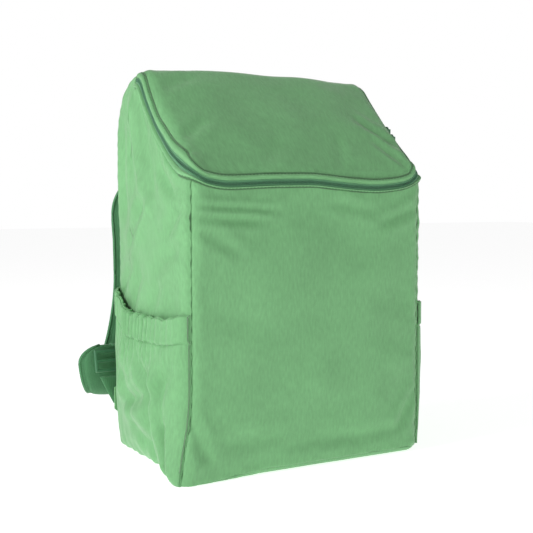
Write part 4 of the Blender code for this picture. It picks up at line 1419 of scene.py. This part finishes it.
class COOLERBAG_OT_lid(BagOperator, bpy.types.Operator):
    """Sew the domed lid and its rolled border"""
    bl_idname = "coolerbag.lid"
    bl_label = "Lid"

    def build(self, own):
        lid = add_thickness(make_lid_fabric(own.lid_dome, own.wrinkle))
        dress(lid, "lid", ("lid_panel",))
        dress(make_lid_border(), "lid", ("lid_border",))
        # Seam tubes along the mouth, coloured with painted seam shade
        low_seam_shade, high_seam_shade = make_mouth_seams()
        dress(low_seam_shade, "root", ())
        dress(high_seam_shade, "lid", ())
        seam = mouth_points(LID_SEAM + 0.0004, 0.0007)
        inner = mouth_points(LID_SEAM + 0.0016, 0.0016)
        dress(stitch_rows("lid_stitches", [seam, inner]), "lid", ())


class COOLERBAG_OT_zip(BagOperator, bpy.types.Operator):
    """Lay the zip's tapes and coils, the body border, the sliders and the pulls"""
    bl_idname = "coolerbag.zip"
    bl_label = "Zip"

    def build(self, own):
        dress(make_tape("zip_tape_upper", BORDER_LOW - 0.0006, ZIP_MIDDLE - 0.0001), "lid",
              ("zip_tape_lid",))
        dress(make_tape("zip_tape_lower", ZIP_MIDDLE + 0.0001, BODY_HIGH + 0.0008), "root",
              ("zip_tape_body",))
        dress(coil_rows("zip_coil_upper", [mouth_points(ZIP_MIDDLE - 0.0007, 0.0006)]), "lid",
              ("zip_chain_lid",))
        dress(coil_rows("zip_coil_lower", [mouth_points(ZIP_MIDDLE + 0.0007, 0.0006)]), "root",
              ("zip_chain_body",))
        dress(make_body_border(), "root", ("body_border",))
        seam = mouth_points(BODY_LOW - 0.0010, 0.0016)
        dress(stitch_rows("body_border_stitches", [seam]), "root", ())
        for end in ("upper", "lower"):
            slider = refined_copy("zip_slider_" + end, "slider_body_" + end, "Zip metal", 0.0005)
            dress(slider, "slider_" + end, ("zip_slider_" + end,))
            pull = refined_copy("zip_pull_" + end, "slider_pull_" + end, "Zip metal", 0.0003)
            dress(pull, "pull_" + end, ("zip_pull_" + end,))


class COOLERBAG_OT_pockets(BagOperator, bpy.types.Operator):
    """Gather the two side pockets"""
    bl_idname = "coolerbag.pockets"
    bl_label = "Side pockets"

    def build(self, own):
        for side, sign in (("left", -1), ("right", 1)):
            cloth, rim, stitches = make_pocket(side, sign, own.pocket_bulge)
            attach(cloth, "root")
            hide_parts(side + "_pocket", side + "_pocket_hem")
            dress(rim, "root", ())
            dress(stitches, "root", ())


class COOLERBAG_OT_straps(BagOperator, bpy.types.Operator):
    """Pad the shoulder straps and fit their webbing and buckles"""
    bl_idname = "coolerbag.straps"
    bl_label = "Shoulder straps"

    def build(self, own):
        for side, sign in (("left", -1), ("right", 1)):
            strap, stitches, beads = make_strap(side, sign, own.strap_fill)
            body = side + "_strap"
            dress(strap, body, (side + "_shoulder_strap",))
            for piece in [stitches] + beads:
                dress(piece, body, ())
            anchor = refined_copy(side + "_strap_anchor", side + "_strap_sewing", "Strap webbing")
            dress(anchor, "root", (side + "_strap_anchor",))
            tab = refined_copy(side + "_wing_tab", side + "_wing_fabric", "Outer fabric")
            dress(tab, "root", (side + "_wing_tab",))
            lower = refined_copy(side + "_lower_webbing", side + "_lower_strap", "Strap webbing",
                                 0.0, 3)
            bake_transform(lower)
            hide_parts(side + "_lower_webbing")
            buckle = refined_copy(side + "_ladder_lock", side + "_buckle", "Buckle plastic", 0.0012)
            dress(buckle, side + "_lock", (side + "_ladder_lock",))


class COOLERBAG_OT_back(BagOperator, bpy.types.Operator):
    """Stuff the back pad and sew the grab handle and the lid's hinge tape"""
    bl_idname = "coolerbag.back"
    bl_label = "Back and handle"

    def build(self, own):
        pad, stitches = make_back_pad()
        dress(pad, "root", ("back_pad",))
        dress(stitches, "root", ())
        handle, rows = make_handle()
        dress(handle, "handle", ("grab_handle",))
        dress(rows, "handle", ())
        base = refined_copy("handle_anchor", "handle_base", "Strap webbing")
        dress(base, "root", ("handle_anchor",))
        hinge = refined_copy("lid_hinge_tape", "hinge_fabric", "Outer fabric", 0.0, 3)
        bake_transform(hinge)
        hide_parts("lid_hinge_tape")


def dress(obj, body, nodes):
    """Say what a finished piece rides on and which frame pieces it stands for."""
    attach(obj, body)
    if nodes:
        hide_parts(*nodes)


class COOLERBAG_OT_stage(BagOperator, bpy.types.Operator):
    """Set up the floor, the lights and the camera"""
    bl_idname = "coolerbag.stage"
    bl_label = "Stage"

    def build(self, own):
        shelf = Shelf("Pale floor", (0.9, 0.9, 0.9))
        shelf.feed(Base_Color=(0.86, 0.86, 0.86, 1.0), Roughness=0.9, Specular_IOR_Level=0.1)
        shelf.feed(Emission_Color=(1.0, 1.0, 1.0, 1.0), Emission_Strength=FLOOR_GLOW)
        mesh = bpy.data.meshes.new("Floor")
        mesh.from_pydata([(-9, -9, 0), (9, -9, 0), (9, 9, 0), (-9, 9, 0)], [], [(0, 1, 2, 3)])
        floor = placed("Floor", mesh)
        mesh.materials.append(shelf.material)
        world = bpy.data.worlds.new("Studio")
        bpy.context.scene.world = world
        world.use_nodes = True
        light_world(world.node_tree)
        for name, place, aim, size, power in LIGHTS:
            add_light(name, place, aim, size, power)
        add_camera()


SKY_LIGHT, SKY_SEEN, FLOOR_GLOW = 0.30, 1.0, 0.70


def light_world(tree):
    """A white backdrop that lights the bag more gently than it looks."""
    sky = tree.nodes["Background"]
    sky.inputs["Color"].default_value = (1, 1, 1, 1)
    seen = tree.nodes.new("ShaderNodeLightPath")
    scale = tree.nodes.new("ShaderNodeMapRange")
    scale.inputs["To Min"].default_value = SKY_LIGHT
    scale.inputs["To Max"].default_value = SKY_SEEN
    tree.links.new(seen.outputs["Is Camera Ray"], scale.inputs["Value"])
    tree.links.new(scale.outputs["Result"], sky.inputs["Strength"])


LIGHTS = (
    ("Key light", (-1.75, -0.10, 0.95), (0.0, 0.0, 0.20), 0.50, 23.0),
    ("Front fill", (0.2, -2.4, 0.9), (0.0, 0.0, 0.18), 0.9, 12.0),
)


def add_light(name, place, aim, size, power):
    light = bpy.data.lights.new(name, "AREA")
    light.size = size
    light.energy = power
    obj = placed(name, light)
    obj.location = place
    obj.rotation_euler = (Vector(aim) - Vector(place)).to_track_quat("-Z", "Y").to_euler()


# Where the camera stands, its heading seen from above, how far it looks down and its lens
CAMERA_PLACE, CAMERA_HEADING = (-0.584, -0.993, 0.290), (0.5045, 0.8634)
CAMERA_DOWN, CAMERA_LENS, CAMERA_SENSOR = math.radians(3.8), 67.5, 36.0


def add_camera():
    camera = bpy.data.cameras.new("Camera")
    camera.lens = CAMERA_LENS
    camera.sensor_width = CAMERA_SENSOR
    camera.clip_start = 0.05
    obj = placed("Camera", camera)
    obj.location = CAMERA_PLACE
    level = math.cos(CAMERA_DOWN)
    look = Vector([part * level for part in CAMERA_HEADING] + [-math.sin(CAMERA_DOWN)])
    obj.rotation_euler = look.to_track_quat("-Z", "Y").to_euler()
    bpy.context.scene.camera = obj
    bpy.context.scene.view_settings.view_transform = "Standard"


STEPS = (COOLERBAG_OT_materials, COOLERBAG_OT_walls, COOLERBAG_OT_lid, COOLERBAG_OT_zip,
         COOLERBAG_OT_pockets, COOLERBAG_OT_straps, COOLERBAG_OT_back, COOLERBAG_OT_stage)


class COOLERBAG_PT_panel(bpy.types.Panel):
    """Sizes, colours and the building steps"""
    bl_idname = "COOLERBAG_PT_panel"
    bl_label = "Cooler Bag"
    bl_space_type = "VIEW_3D"
    bl_region_type = "UI"
    bl_category = "Cooler Bag"

    def draw(self, context):
        layout = self.layout
        for group in (context.scene.cooler_bag_sizes, context.scene.cooler_bag_colours):
            column = layout.column(align=True)
            for name in group.__annotations__:
                column.prop(group, name)
        column = layout.column(align=True)
        for step in STEPS:
            column.operator(step.bl_idname, text=step.bl_label)


CLASSES = (CoolerBagSizes, CoolerBagColours) + STEPS + (COOLERBAG_PT_panel,)


def register():
    for cls in CLASSES:
        bpy.utils.register_class(cls)
    bpy.types.Scene.cooler_bag_sizes = bpy.props.PointerProperty(type=CoolerBagSizes)
    bpy.types.Scene.cooler_bag_colours = bpy.props.PointerProperty(type=CoolerBagColours)


def unregister():
    del bpy.types.Scene.cooler_bag_colours
    del bpy.types.Scene.cooler_bag_sizes
    for cls in reversed(CLASSES):
        bpy.utils.unregister_class(cls)


def main():
    register()
    for step in STEPS:
        group, action = step.bl_idname.split(".")
        getattr(getattr(bpy.ops, group), action)()


if __name__ == "__main__":
    main()
